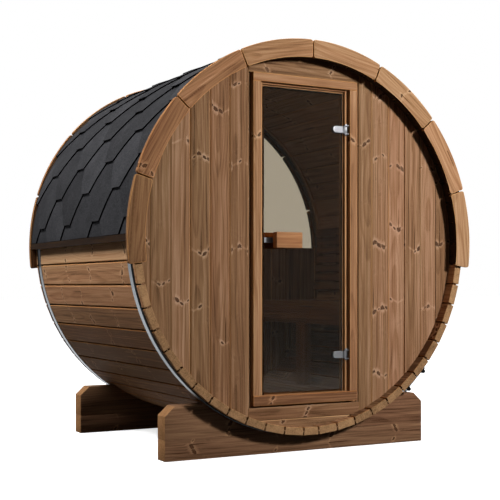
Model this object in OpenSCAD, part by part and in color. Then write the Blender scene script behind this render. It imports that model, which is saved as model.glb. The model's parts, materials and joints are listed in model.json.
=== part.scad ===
// Barrel sauna: a round wooden cabin of staves lying on two cradles, with a glass door in the
// front wall, a half-moon window in the rear wall and bitumen shingles over the upper half.
// Millimetres, +Z up, +X to the right seen from the front, the door faces -Y.
// The origin is on the ground, under the middle of the barrel.

/* [Barrel] */
// Outer radius of the staves
barrel_r = 1034; // [1000:1:1060]
// Thickness of a stave
stave_t = 42; // [38:1:46]
// Height of the barrel's centre line above the ground
axis_z = 1130; // [1110:5:1150]
// Length of the staves
stave_len = 1490; // [1400:2:1520]
// Angle that one stave takes up
stave_angle = 6.75; // [6.75]

/* [Arches] */
// Outer radius of the arch boards at each end
arch_r = 1071; // [1064:1:1080]
// Width of an arch board
arch_w = 97; // [90:1:102]
// Thickness of an arch board
arch_t = 23; // [18:1:26]
// How far the arch reaches below the barrel's centre, in degrees
arch_drop = 7.3; // [6:0.1:8]
// Arch boards on each side of the top
arch_boards = 4; // [4]
// Gap between two arch boards
arch_gap = 7; // [4:0.5:8]

/* [Walls] */
// Thickness of the end walls
wall_t = 42; // [38:1:44]
// How far the end walls stand back from the stave ends
wall_setback = 58; // [50:1:60]
// Height of the rear window's bottom edge above the barrel's centre
window_rise = 22; // [10:1:40]

/* [Door] */
// Half width of the opening between the wall boards
opening_half = 349; // [345:1:352]
// Bottom of the opening above the ground
opening_bottom = 252; // [248:1:256]
// Top of the opening above the ground
opening_top = 2012; // [2006:1:2016]
// Outer half width of the casing
casing_half = 329; // [325:1:333]
// Width of the casing's stiles
casing_w = 48; // [44:1:48]
// Height of the casing's head board
casing_head_h = 45; // [42:1:48]
// Height of the casing's bottom board
casing_foot_h = 53; // [50:1:60]
// Thickness of the casing
casing_t = 24; // [20:1:24]
// How far the casing stands out from the wall boards
casing_proud = 13; // [10:1:14]
// Gap under the casing
casing_gap = 10; // [6:1:12]
// Half width of the clear frame
frame_half = 263; // [260:1:266]
// Width of the frame's strip that shows between the glass and the casing
strip_w = 23; // [18:1:24]
// Height of the same strip over the glass
head_strip_h = 11; // [8:1:14]
// How far the frame's head hangs below the casing's head board
head_drop = 9; // [6:1:12]
// Gap between the door glass and the frame
glass_gap = 10; // [7:1:11]
// Thickness of the glass
glass_t = 8; // [6:1:8]
// Height of the hinges' centres above the ground
hinge_z = [516, 1749]; // [500:1:1760]

/* [Roof and bands] */
// Thickness of the roof covering with its underlay
roof_t = 35; // [18:1:36]
// Height of the batten under the roof's edge
batten_h = 33; // [28:1:36]
// Depth of the batten
batten_d = 32; // [26:1:34]
// Width of a steel band
band_w = 36; // [30:1:46]
// Thickness of a steel band
band_t = 1.5; // [1.5:0.5:2]
// Distance of a band from the stave ends
band_inset = 42; // [24:1:60]

/* [Cradles] */
// Half width of a cradle
cradle_half = 815; // [800:1:830]
// Height of a cradle
cradle_h = 280; // [270:1:290]
// Thickness of a cradle
cradle_t = 90; // [80:1:94]
// Distance of a cradle's outer face from the stave ends
cradle_inset = 97; // [90:1:110]

/* [Inside] */
// Height of the floor boards' top
floor_z = 290; // [280:1:300]
// Height of the bench seat
seat_z = 800; // [780:1:820]
// Distance of the bench front from the middle
bench_x = 400; // [390:1:420]
// Height of the bench's front board
fascia_h = 108; // [100:1:112]

/* [Hidden] */
$fn = 180;

// Colours of the woods, metals and coverings
wood_light = "#A9805C";
wood_mid = "#9A7252";
wood_side = "#8A5C3C";
wood_dark = "#5A3C28";
steel = "#B8C4CC";
black = "#26262A";
bronze_glass = [0.16, 0.13, 0.11, 0.6];

inner_r = barrel_r - stave_t;
half_len = stave_len / 2;
arch_face = half_len + arch_t;
wall_out = half_len - wall_setback;
wall_in = wall_out - wall_t;
// The bottom group has one stave on the centre line, narrower than the rest, and two more a side
bottom_stave_angle = 5.4;
bottom_half_angle = bottom_stave_angle / 2 + 2 * stave_angle;
group_angle = 6 * stave_angle;
arch_step = (90 + arch_drop) / arch_boards;
// Far enough out for a cutting shape to pass every round piece
reach = 3 * barrel_r;

// The door frame lies behind the casing, level with the casing's back
frame_front = -(wall_out + casing_proud - casing_t);
frame_back = -wall_in;
casing_front = frame_front - casing_t;
casing_bottom = opening_bottom + casing_gap;
sill_top = casing_bottom + casing_foot_h;
head_underside = opening_top - casing_head_h - head_drop;
stop_w = 18;
stop_d = 15;

// A groove behind the casing's inner edge sets the frame's strip off from the casing
groove_x = frame_half + strip_w;
groove_z = head_underside + head_strip_h;
groove_w = 14;
groove_d = 24;

// A deep slot runs round the casing, past the thick part of the frame and the wall boards' tongue
slot_depth = 13;
slot_back = frame_front + slot_depth;
slot_overlap = 4;
tongue_w = 8;
tongue_t = 12;

// The door glass fills the frame with an even gap, its face level with the frame behind the casing
glass_half = frame_half - glass_gap;
glass_bottom = sill_top + glass_gap;
glass_top = head_underside - glass_gap;
glass_front = frame_front;
glass_back = glass_front + glass_t;

// The hinge pins stand in the reveal, in front of the glass's edge
pin_x = 254;
pin_y = glass_front - 13;
pin_r = 2.5;
pin_play = 0.05;
knuckle_r = 4.5;
clamp_h = 38;
clamp_end_x = 180;
clamp_t = 10;
clamp_back_t = 5;
neck_w = 4;
neck_d = 5;
leaf_h = 66;
lug_gap = 1.5;
lug_h = 5;

// The two handle blocks face each other through the glass
handle_z0 = 1092;
handle_z1 = 1176;
handle_x0 = -212;
handle_x1 = -51;
handle_inner_x0 = -233;
handle_t = 42;
handle_standoff = 22;
bolt_x = [-190, -98];
bolt_r = 8;

// The half-moon window stands on the rear wall
window_bottom = axis_z + window_rise;
window_glass_y = (wall_in + wall_out - glass_t) / 2;
bead_w = 14;

// Floor, bench and backrest boards
board_t = 28;
board_gap = 9;
room_half = wall_in;
bearer_t = 38;
bearer_y = [-420, 0, 420];

// Wedge between two angles, seen from the front, wide enough to cut any ring here
module wedge(a0, a1) {
    mid = (a0 + a1) / 2;
    polygon([
        [0, 0],
        [reach * cos(a0), reach * sin(a0)],
        [reach * cos(mid), reach * sin(mid)],
        [reach * cos(a1), reach * sin(a1)]
    ]);
}

// Stands a flat shape up in the XZ plane about the barrel's centre line, from y0 to y1
module along_barrel(y0, y1) {
    translate([0, y1, axis_z])
        rotate([90, 0, 0])
            linear_extrude(height = y1 - y0)
                children();
}

// Part of a ring between two angles, as a flat shape
module ring_part(r0, r1, a0, a1) {
    intersection() {
        difference() {
            circle(r = r1);
            circle(r = r0);
        }
        wedge(a0, a1);
    }
}

// Box given by its lowest and highest corners
module block(low, high) {
    translate(low)
        cube(high - low);
}

// A pair made of the children and their mirror image across the middle of the barrel's length
module front_and_rear() {
    children();
    mirror([0, 1, 0])
        children();
}

// A pair made of the children and their mirror image across the door's centre line
module left_and_right() {
    children();
    mirror([1, 0, 0])
        children();
}

// Cradle cut from two laminated planks, with a round notch that carries the staves
module cradle() {
    chamfer_x = 55;
    chamfer_z = 50;
    color(wood_side)
        along_barrel(-half_len + cradle_inset, -half_len + cradle_inset + cradle_t)
            difference() {
                polygon([
                    [-cradle_half, -axis_z],
                    [cradle_half, -axis_z],
                    [cradle_half, cradle_h - chamfer_z - axis_z],
                    [cradle_half - chamfer_x, cradle_h - axis_z],
                    [-cradle_half + chamfer_x, cradle_h - axis_z],
                    [-cradle_half, cradle_h - chamfer_z - axis_z]
                ]);
                circle(r = barrel_r);
            }
}

module cradle_front() {
    cradle();
}

module cradle_rear() {
    mirror([0, 1, 0])
        cradle();
}

// A group of staves that stand side by side, between two angles
module staves(a0, a1) {
    color(wood_mid)
        along_barrel(-half_len, half_len)
            ring_part(inner_r, barrel_r, a0, a1);
}

module staves_bottom() {
    staves(-90 - bottom_half_angle, -90 + bottom_half_angle);
}

// Groups are counted from the bottom up
module staves_right(group) {
    start = -90 + bottom_half_angle + (group - 1) * group_angle;
    staves(start, start + group_angle);
}

module staves_left(group) {
    mirror([1, 0, 0])
        staves_right(group);
}

// The last stave at the top, cut to the width that the others leave
module stave_closing() {
    edge = -90 + bottom_half_angle + 4 * group_angle;
    staves(edge, 180 - edge);
}

// The arch boards on the right of one end, each a separate board with a gap to the next
module arch_side() {
    color(wood_light)
        along_barrel(-arch_face, -half_len)
            difference() {
                ring_part(arch_r - arch_w, arch_r, -arch_drop, 90);
                for (board = [1 : arch_boards])
                    rotate(-arch_drop + board * arch_step)
                        translate([0, -arch_gap / 2])
                            square([reach, arch_gap]);
            }
}

module arch_front_right() {
    arch_side();
}

module arch_front_left() {
    mirror([1, 0, 0])
        arch_side();
}

module arch_rear_right() {
    mirror([0, 1, 0])
        arch_side();
}

module arch_rear_left() {
    mirror([1, 0, 0])
        mirror([0, 1, 0])
            arch_side();
}

// Roof covering from the batten up to the ridge
module roof_right() {
    edge = asin(batten_h / 2 / barrel_r);
    color(black)
        along_barrel(-half_len, half_len)
            ring_part(barrel_r, barrel_r + roof_t, edge, 90);
}

module roof_left() {
    mirror([1, 0, 0])
        roof_right();
}

// A batten under the roof's lower edge on each side
module roof_battens() {
    color(wood_dark)
        left_and_right()
            along_barrel(-half_len, half_len)
                difference() {
                    translate([barrel_r - 2, -batten_h / 2])
                        square([batten_d + 2, batten_h]);
                    circle(r = barrel_r);
                    wedge(asin(batten_h / 2 / barrel_r), 90);
                }
}

// A steel band round the lower half of the barrel near each end
module bands() {
    start = asin((batten_h / 2) / barrel_r);
    color(steel)
        front_and_rear()
            along_barrel(-half_len + band_inset, -half_len + band_inset + band_w)
                ring_part(barrel_r, barrel_r + band_t, 180 + start, 360 - start);
}

// The screw that tightens a band: two lugs on the band, joined by a threaded rod
module tensioner() {
    lug_t = 20;
    lug_out = 50;
    lug_w = 30;
    lug_angle = [-50, -42.5];
    rod_r = 5;
    rod_out = 32;
    rod_len = 190;
    mid_angle = (lug_angle[0] + lug_angle[1]) / 2;
    band_mid = -half_len + band_inset + band_w / 2;
    color(steel) {
        along_barrel(band_mid - lug_w / 2, band_mid + lug_w / 2)
            for (angle = lug_angle)
                difference() {
                    rotate(angle)
                        translate([barrel_r - 2, -lug_t / 2])
                            square([lug_out + 2, lug_t]);
                    circle(r = barrel_r + band_t);
                }
        translate([0, band_mid, axis_z])
            rotate([0, -mid_angle, 0])
                translate([barrel_r + rod_out, 0, -rod_len / 2])
                    cylinder(r = rod_r, h = rod_len);
    }
}

module tensioners() {
    front_and_rear()
        tensioner();
}

// The disc that fills the barrel at the front, before the doorway is cut
module front_disc() {
    along_barrel(-wall_out, -wall_in)
        circle(r = inner_r);
}

// Wall boards right of the doorway, with the last board's tongue beside the casing
module front_wall_right() {
    color(wood_mid) {
        intersection() {
            front_disc();
            block([opening_half, -reach, 0], [reach, reach, reach]);
        }
        block(
            [opening_half - tongue_w, slot_back - tongue_t, opening_bottom],
            [opening_half, slot_back, opening_top]
        );
    }
}

module front_wall_left() {
    mirror([1, 0, 0])
        front_wall_right();
}

// Level boards over the doorway
module front_wall_head() {
    color(wood_mid)
        intersection() {
            front_disc();
            block([-opening_half, -reach, opening_top], [opening_half, reach, reach]);
        }
}

// Level boards under the doorway
module front_wall_sill() {
    color(wood_mid)
        intersection() {
            front_disc();
            block([-opening_half, -reach, 0], [opening_half, reach, opening_bottom]);
        }
}

// Post that closes the gap between the wall boards and the door, with a groove and a stop
module door_post_right() {
    color(wood_light)
        difference() {
            union() {
                block([frame_half, slot_back, opening_bottom], [opening_half, frame_back, opening_top]);
                block(
                    [frame_half, frame_front, casing_bottom + slot_overlap],
                    [casing_half - slot_overlap, slot_back, opening_top]
                );
                block(
                    [frame_half - stop_w, frame_back - stop_d, sill_top],
                    [frame_half, frame_back, head_underside]
                );
            }
            for (corner = [[groove_x, sill_top], [frame_half - 1, groove_z]])
                block(
                    [corner[0], frame_front - 1, corner[1]],
                    [groove_x + groove_w, frame_front + groove_d, groove_z + groove_w]
                );
        }
}

module door_post_left() {
    mirror([1, 0, 0])
        door_post_right();
}

// Head of the door frame, with the same groove and stop
module door_head() {
    color(wood_light)
        difference() {
            union() {
                block([-frame_half, frame_front, head_underside], [frame_half, frame_back, opening_top]);
                block(
                    [-frame_half + stop_w, frame_back - stop_d, head_underside - stop_w],
                    [frame_half - stop_w, frame_back, head_underside]
                );
            }
            block(
                [-frame_half - 1, frame_front - 1, groove_z],
                [frame_half + 1, frame_front + groove_d, groove_z + groove_w]
            );
        }
}

// Threshold board that the bottom of the casing is fixed to
module door_threshold() {
    color(wood_light) {
        block([-frame_half, slot_back, opening_bottom], [frame_half, frame_back, sill_top]);
        block([-frame_half, frame_front, casing_bottom + slot_overlap], [frame_half, slot_back, sill_top]);
    }
}

// Casing: two stiles between a head board and a bottom board
module door_casing() {
    color(wood_light)
        difference() {
            block([-casing_half, casing_front, casing_bottom], [casing_half, frame_front, opening_top]);
            block(
                [-casing_half + casing_w, casing_front - 1, sill_top],
                [casing_half - casing_w, frame_front + 1, opening_top - casing_head_h]
            );
        }
}

// Rubber strip on the stops, which the closed door nearly touches
module door_seal() {
    seal_t = 3;
    seal_w = 8;
    seal_y = frame_back - stop_d - seal_t;
    color(black)
        difference() {
            block([-glass_half, seal_y, sill_top], [glass_half, seal_y + seal_t, glass_top]);
            block(
                [-glass_half + seal_w, seal_y - 1, sill_top - 1],
                [glass_half - seal_w, seal_y + seal_t + 1, glass_top - seal_w]
            );
        }
}

// Sheet of toughened glass that is the whole door leaf
module door_glass() {
    color(bronze_glass)
        block([-glass_half, glass_front, glass_bottom], [glass_half, glass_back, glass_top]);
}

// Clamp plates on both faces of the glass, with the knuckle that turns on the hinge pin
module hinge_clamp(z) {
    plate_end = glass_half - 3;
    nose_r = clamp_h / 2;
    color(steel)
        difference() {
            union() {
                translate([0, glass_front, z])
                    rotate([90, 0, 0])
                        linear_extrude(height = clamp_t) {
                            translate([clamp_end_x + nose_r, 0])
                                circle(r = nose_r);
                            translate([clamp_end_x + nose_r, -nose_r])
                                square([plate_end - clamp_end_x - nose_r, clamp_h]);
                        }
                translate([0, glass_back + clamp_back_t, z])
                    rotate([90, 0, 0])
                        linear_extrude(height = clamp_back_t) {
                            translate([clamp_end_x + nose_r, 0])
                                circle(r = nose_r);
                            translate([clamp_end_x + nose_r, -nose_r])
                                square([frame_half - stop_w - 5 - clamp_end_x - nose_r, clamp_h]);
                        }
                translate([pin_x, pin_y, z - clamp_h / 2])
                    cylinder(r = knuckle_r, h = clamp_h);
                block(
                    [plate_end - neck_w, glass_front - clamp_t - neck_d + 1, z - clamp_h / 2],
                    [pin_x, glass_front - clamp_t + 1, z + clamp_h / 2]
                );
            }
            translate([pin_x, pin_y, z - clamp_h])
                cylinder(r = pin_r + pin_play, h = 2 * clamp_h);
        }
}

module hinge_clamps() {
    for (z = hinge_z)
        hinge_clamp(z);
}

// Fixed leaf: a plate on the frame's strip, and two lugs that hold the pin
module hinge_leaf(z) {
    plate_t = 4;
    plate_x = frame_half + 1;
    plate_w = 15;
    lug_z = clamp_h / 2 + lug_gap;
    plate_front = frame_front - plate_t;
    color(steel) {
        block(
            [plate_x, plate_front, z - leaf_h / 2],
            [plate_x + plate_w, frame_front, z + leaf_h / 2]
        );
        for (low = [z - lug_z - lug_h, z + lug_z])
            block(
                [pin_x - knuckle_r, pin_y - knuckle_r, low],
                [plate_x + plate_w, plate_front, low + lug_h]
            );
        translate([pin_x, pin_y, z - lug_z - lug_h])
            cylinder(r = pin_r, h = 2 * (lug_z + lug_h));
    }
}

module hinge_leaves() {
    for (z = hinge_z)
        hinge_leaf(z);
}

// Wooden pull outside the glass, on two round spacers
module handle_outer() {
    color(wood_light) {
        block(
            [handle_x0, glass_front - handle_standoff - handle_t, handle_z0],
            [handle_x1, glass_front - handle_standoff, handle_z1]
        );
        for (x = bolt_x)
            translate([x, glass_front, (handle_z0 + handle_z1) / 2])
                rotate([90, 0, 0])
                    cylinder(r = bolt_r, h = handle_standoff);
    }
}

// Matching pull inside the glass
module handle_inner() {
    color(wood_dark) {
        block(
            [handle_inner_x0, glass_back + handle_standoff, handle_z0],
            [handle_x1, glass_back + handle_standoff + handle_t, handle_z1]
        );
        for (x = bolt_x)
            translate([x, glass_back + handle_standoff, (handle_z0 + handle_z1) / 2])
                rotate([90, 0, 0])
                    cylinder(r = bolt_r, h = handle_standoff);
    }
}

// Steel catch plate on the glass, from its free edge to the first spacer
module handle_plate() {
    plate_t = 3;
    plate_h = 28;
    mid_z = (handle_z0 + handle_z1) / 2;
    color(steel)
        block(
            [-glass_half, glass_front - plate_t, mid_z - plate_h / 2],
            [bolt_x[0] - bolt_r - 1, glass_front, mid_z + plate_h / 2]
        );
}

// Rear wall boards up to the window
module rear_wall() {
    color(wood_mid)
        intersection() {
            along_barrel(wall_in, wall_out)
                circle(r = inner_r);
            block([-reach, -reach, 0], [reach, reach, window_bottom]);
        }
}

// Half-moon glass over the rear wall
module rear_window_glass() {
    color(bronze_glass)
        intersection() {
            along_barrel(window_glass_y, window_glass_y + glass_t)
                circle(r = inner_r);
            block([-reach, -reach, window_bottom], [reach, reach, reach]);
        }
}

// Round beads that hold the glass, one inside and one outside
module rear_window_beads() {
    color(wood_light)
        for (y = [[wall_in + 5, window_glass_y], [window_glass_y + glass_t, wall_out - 5]])
            intersection() {
                along_barrel(y[0], y[1])
                    difference() {
                        circle(r = inner_r);
                        circle(r = inner_r - bead_w);
                    }
                block([-reach, -reach, window_bottom], [reach, reach, reach]);
            }
}

// Floor boards along the barrel, on three bearers shaped to the staves
module floor() {
    floor_half = 468;
    boards = 10;
    pitch = (2 * floor_half + board_gap) / boards;
    bearer_h = 60;
    color(wood_side) {
        for (i = [0 : boards - 1])
            block(
                [-floor_half + i * pitch, -room_half, floor_z - board_t],
                [-floor_half + (i + 1) * pitch - board_gap, room_half, floor_z]
            );
        for (y = bearer_y)
            intersection() {
                block(
                    [-floor_half, y - bearer_t / 2, floor_z - board_t - bearer_h],
                    [floor_half, y + bearer_t / 2, floor_z - board_t]
                );
                along_barrel(-half_len, half_len)
                    circle(r = inner_r);
            }
    }
}

// Bench boards along the barrel, on three bearers that reach the staves
module bench_seat() {
    boards = 5;
    bearer_h = 70;
    seat_end = 914;
    pitch = (seat_end - bench_x + board_gap) / boards;
    color(wood_light) {
        for (i = [0 : boards - 1])
            block(
                [bench_x + i * pitch, -room_half, seat_z - board_t],
                [bench_x + (i + 1) * pitch - board_gap, room_half, seat_z]
            );
        for (y = bearer_y)
            intersection() {
                block(
                    [bench_x + board_t, y - bearer_t / 2, seat_z - board_t - bearer_h],
                    [reach, y + bearer_t / 2, seat_z - board_t]
                );
                along_barrel(-half_len, half_len)
                    circle(r = inner_r);
            }
    }
}

// Board along the front of the bench, under the seat
module bench_fascia() {
    color(wood_light)
        block(
            [bench_x, -room_half, seat_z - board_t - fascia_h],
            [bench_x + board_t, room_half, seat_z - board_t]
        );
}

// Post under the middle of the bench's front
module bench_leg() {
    leg_t = 45;
    leg_w = 95;
    leg_y = bearer_y[1];
    color(wood_light)
        block(
            [bench_x, leg_y - leg_w / 2, floor_z],
            [bench_x + leg_t, leg_y + leg_w / 2, seat_z - board_t - fascia_h]
        );
}

// Backrest slats along the barrel, on three curved ribs fixed to the staves
module backrest() {
    slats = 7;
    slat_w = 50;
    slat_t = 20;
    slat_back = 962;
    first_angle = -14.5;
    slat_step = 3.7;
    color(wood_light) {
        for (i = [0 : slats - 1])
            along_barrel(-room_half, room_half)
                rotate(first_angle + i * slat_step)
                    translate([slat_back - slat_t, -slat_w / 2])
                        square([slat_t, slat_w]);
        for (y = bearer_y)
            along_barrel(y - bearer_t / 2, y + bearer_t / 2)
                ring_part(slat_back - 1, inner_r, first_angle - 1, first_angle + (slats - 1) * slat_step + 1);
    }
}

cradle_front();
cradle_rear();
staves_bottom();
staves_left(1);  // staves_left_1
staves_left(2);  // staves_left_2
staves_left(3);  // staves_left_3
staves_left(4);  // staves_left_4
staves_right(1);  // staves_right_1
staves_right(2);  // staves_right_2
staves_right(3);  // staves_right_3
staves_right(4);  // staves_right_4
stave_closing();
arch_front_left();
arch_front_right();
arch_rear_left();
arch_rear_right();
roof_left();
roof_right();
roof_battens();
bands();
tensioners();
front_wall_left();
front_wall_right();
front_wall_head();
front_wall_sill();
door_post_left();
door_post_right();
door_head();
door_threshold();
door_casing();
door_seal();
door_glass();
hinge_clamps();
hinge_leaves();
handle_outer();
handle_inner();
handle_plate();
rear_wall();
rear_window_glass();
rear_window_beads();
floor();
bench_seat();
bench_fascia();
bench_leg();
backrest();
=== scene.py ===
# The looks of a barrel sauna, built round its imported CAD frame.
# Metres, +Z up, +X to the right seen from the front, the door faces -Y.

import json
import math
import random

import bmesh
import bpy
from mathutils import Euler, Matrix, Vector


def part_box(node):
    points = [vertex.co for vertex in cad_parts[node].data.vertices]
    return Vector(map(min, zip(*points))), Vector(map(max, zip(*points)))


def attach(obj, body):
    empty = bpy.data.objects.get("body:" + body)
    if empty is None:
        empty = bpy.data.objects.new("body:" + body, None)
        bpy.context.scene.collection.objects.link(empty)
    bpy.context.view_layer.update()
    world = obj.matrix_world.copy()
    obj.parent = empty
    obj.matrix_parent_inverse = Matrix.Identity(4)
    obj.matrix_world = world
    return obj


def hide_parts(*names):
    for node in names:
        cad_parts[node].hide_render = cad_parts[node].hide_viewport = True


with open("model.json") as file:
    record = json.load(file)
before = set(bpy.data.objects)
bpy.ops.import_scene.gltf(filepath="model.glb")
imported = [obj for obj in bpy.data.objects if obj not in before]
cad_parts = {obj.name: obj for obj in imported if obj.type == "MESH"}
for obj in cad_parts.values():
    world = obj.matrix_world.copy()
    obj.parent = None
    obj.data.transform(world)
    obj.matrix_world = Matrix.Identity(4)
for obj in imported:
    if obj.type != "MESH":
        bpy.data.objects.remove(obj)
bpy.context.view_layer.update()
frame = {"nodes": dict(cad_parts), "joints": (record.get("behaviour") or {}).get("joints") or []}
RNG = random.Random(23)

RIGHT = Vector((1, 0, 0))
BACK = Vector((0, 1, 0))
UP = Vector((0, 0, 1))
FRONT = -BACK


# ---- Sizes that the frame gives ----

def low(node):
    """The lowest corner of a CAD node."""
    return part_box(node)[0]


def high(node):
    """The highest corner of a CAD node."""
    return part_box(node)[1]


BARREL_R = round(high("staves_right_2").x, 3)
INNER_R = round(high("rear_wall").x, 3)
ARCH_R = round(high("arch_front_right").x, 3)
AXIS_Z = round(high("arch_front_right").z, 3) - ARCH_R
AXIS = Vector((0, 0, AXIS_Z))
HALF_LEN = high("staves_right_2").y
WALL_FACE = -low("front_wall_sill").y
WALL_T = high("front_wall_sill").y - low("front_wall_sill").y
OPENING_HALF = high("front_wall_head").x
OPENING_BOTTOM = high("front_wall_sill").z
OPENING_TOP = low("front_wall_head").z
WINDOW_BOTTOM = high("rear_wall").z


# ---- Boards ----

# How far edges are eased: on boards that show, on battens and bearers, and on narrow parts of the frame
EASE = 0.003
PLAIN_EASE = 0.002
FINE_EASE = 0.001


def new_shape():
    """A mesh whose points can say where in a log their wood grew."""
    shape = bmesh.new()
    shape.verts.layers.float_vector.new("grain")
    shape.verts.layers.float_vector.new("seed")
    shape.verts.layers.float.new("tone")
    return shape


def bevel(shape, edges, width, segments=2):
    """Rounds edges off."""
    bmesh.ops.bevel(
        shape, geom=list(edges), offset=width, offset_type="OFFSET", segments=segments,
        profile=0.5, affect="EDGES", clamp_overlap=True, material=-1,
    )


def sharp_edges(shape, limit=0.7):
    """The edges where two faces meet at more than this angle."""
    shape.normal_update()
    return [edge for edge in shape.edges if edge.is_manifold and edge.calc_face_angle() > limit]


def join(piece, shape, place=Matrix.Identity(4)):
    """Adds a finished shape to a piece, at its place."""
    bmesh.ops.transform(shape, matrix=place, verts=shape.verts)
    mesh = bpy.data.meshes.new("shape")
    shape.to_mesh(mesh)
    shape.free()
    piece.from_mesh(mesh)
    bpy.data.meshes.remove(mesh)


def saw(piece, shape, place, tone=None):
    """Adds a board to a piece. The shape's X runs along the grain, and its Z is the board's thickness.

    Each board gets its own place in a log: "grain" holds metres along and away from the heart, "seed" holds
    whole numbers that move every pattern, and "tone" is how pale the board is. Faces across the grain show
    end grain, and chamfers get the piece's third finish, which on walls, staves, arches and the casing is a
    paler copy of the wood: a painted highlight.
    """
    grain = shape.verts.layers.float_vector["grain"]
    seed = shape.verts.layers.float_vector["seed"]
    pale = shape.verts.layers.float["tone"]
    corners = [vert.co for vert in shape.verts]
    middle = sum(corners, Vector()) / len(corners)
    tilt = Euler((0, RNG.uniform(-0.02, 0.02), RNG.uniform(-0.008, 0.008))).to_matrix()
    heart = Vector((0, RNG.uniform(-0.05, 0.05), RNG.choice((-1, 1)) * RNG.uniform(0.03, 0.09)))
    stretch = Vector([RNG.randrange(60) for axis in range(3)])
    share = RNG.uniform(-0.5, 0.5) if tone is None else tone + RNG.uniform(-0.1, 0.1)
    for vert in shape.verts:
        vert[grain] = tilt @ (vert.co - middle) + heart
        vert[seed] = stretch
        vert[pale] = share
    shape.normal_update()
    for face in shape.faces:
        slanted = 0.2 < abs(face.normal.z) < 0.97
        face.material_index = 1 if abs(face.normal.x) > 0.55 else 2 if slanted else 0
    join(piece, shape, place)


def cut(shape, at, direction, keep_one_side=True):
    """Cuts a shape at a plane, and keeps what lies in one direction, or both sides."""
    everything = shape.verts[:] + shape.edges[:] + shape.faces[:]
    bmesh.ops.bisect_plane(shape, geom=everything, plane_co=at, plane_no=direction, clear_inner=keep_one_side)


def set_finish(shape, slot):
    """Gives all of a shape one of its piece's finishes, by number."""
    for face in shape.faces:
        face.material_index = slot


def new_verts(result):
    """The points that an operator has just made."""
    return [item for item in result["geom"] if isinstance(item, bmesh.types.BMVert)]


def thicken(shape, depth):
    """Gives a flat shape a thickness, down from where it lies, and closes it."""
    grown = bmesh.ops.extrude_face_region(shape, geom=shape.faces[:])
    bmesh.ops.translate(shape, vec=(0, 0, -depth), verts=new_verts(grown))
    bmesh.ops.recalc_face_normals(shape, faces=shape.faces)


def raise_step(shape, face, rise, half_from, half_to):
    """Draws a face out into a step that lies between two distances across, and returns the step's face."""
    shape.normal_update()
    outward = face.normal.copy()
    for height in (0, rise):
        grown = bmesh.ops.extrude_face_region(shape, geom=[face])["geom"]
        face = next(item for item in grown if isinstance(item, bmesh.types.BMFace))
        for vert in face.verts:
            vert.co.y = min(max(vert.co.y, half_from), half_to)
            vert.co += height * outward
    return face


def axes(along, face, at=Vector()):
    """The place whose X runs along one direction and whose Z faces another."""
    across = face.cross(along)
    place = Matrix((along, across, face)).transposed().to_4x4()
    place.translation = at
    return place


def plank(piece, corner, opposite, along, face, ease=PLAIN_EASE, tone=None):
    """Adds a planed board between two opposite corners, with its edges eased."""
    size = Vector(opposite) - Vector(corner)
    middle = (Vector(corner) + Vector(opposite)) / 2
    shape = new_shape()
    bmesh.ops.create_cube(shape, size=1)
    across = face.cross(along)
    extents = [abs(size.dot(axis)) for axis in (along, across, face)]
    bmesh.ops.scale(shape, vec=extents, verts=shape.verts)
    bevel(shape, shape.edges, ease)
    saw(piece, shape, axes(along, face, middle), tone)


def show(piece, name, materials, nodes, body="sauna", smooth=False):
    """Makes an object of a piece: it rides on its body and stands for its CAD nodes."""
    mesh = bpy.data.meshes.new(name)
    piece.to_mesh(mesh)
    piece.free()
    for material in materials:
        mesh.materials.append(material)
    if smooth:
        mesh.shade_smooth()
        mesh.set_sharp_from_angle(angle=math.radians(32))
    thing = bpy.data.objects.new(name, mesh)
    bpy.context.scene.collection.objects.link(thing)
    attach(thing, body)
    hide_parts(*nodes)


# ---- Materials ----

def srgb(code):
    """An sRGB hex colour as the linear colour that shaders use."""
    parts = [int(code[i:i + 2], 16) / 255 for i in (1, 3, 5)]
    linear = [part / 12.92 if part <= 0.04045 else ((part + 0.055) / 1.055) ** 2.4 for part in parts]
    return (*linear, 1)


def add(tree, kind, inputs=None, stops=None, **settings):
    """Adds a node with its settings, sets or links its inputs, and returns its outputs.

    The kind may be followed by the node's operation, as in "Math ADD".
    """
    kind, *operation = kind.split()
    node = tree.nodes.new("ShaderNode" + kind)
    if operation:
        node.operation = operation[0]
    for name, value in settings.items():
        setattr(node, name, value)
    for socket, value in (inputs or {}).items():
        if isinstance(value, bpy.types.NodeSocket):
            tree.links.new(value, node.inputs[socket])
        else:
            node.inputs[socket].default_value = value
    if stops:
        elements = node.color_ramp.elements
        while len(elements) < len(stops):
            elements.new(1)
        for element, (position, colour) in zip(elements, stops):
            element.position = position
            element.color = srgb(colour)
    return node.outputs


def new_material(name):
    """An empty material and its node tree."""
    material = bpy.data.materials.new(name)
    material.use_nodes = True
    material.node_tree.nodes.clear()
    return material, material.node_tree


SMOOTH = {"interpolation_type": "SMOOTHSTEP"}
# Wood, bitumen and rubber hardly mirror anything
DULL = 0.02
# The spacing of the whorls along a board, of the V's that their branches make across it, and their slant
WHORL_ALONG = 0.40
BRANCH_PERIOD = 0.125
BRANCH_SLOPE = 0.5
# The spacing of knots across, their radii, how far they stray from their branch, and how many are missing
KNOT_ACROSS = 0.028
KNOT_LEAST = 0.0040
KNOT_MOST = 0.0115
KNOT_STRAY = 0.014
KNOT_MISSING = 0.4
# How fine each pattern is, in waves per metre along, across and through the board. The rings wander over
# 200 mm, streaks are 18 mm wide and patches 60 mm. Real fibre is far finer than the 8 mm that shows here.
WANDER_SCALE = (1.3, 5, 5)
STREAK_SCALE = (0.9, 55, 55)
FIBRE_SCALE = (3, 130, 130)
PATCH_SCALE = (1.2, 16, 16)
# Real year rings are 2 to 4 mm wide, and drawn wider so that they show
RING = 0.011
CRADLE_RING = 0.014
END_RING = 0.006


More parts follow.
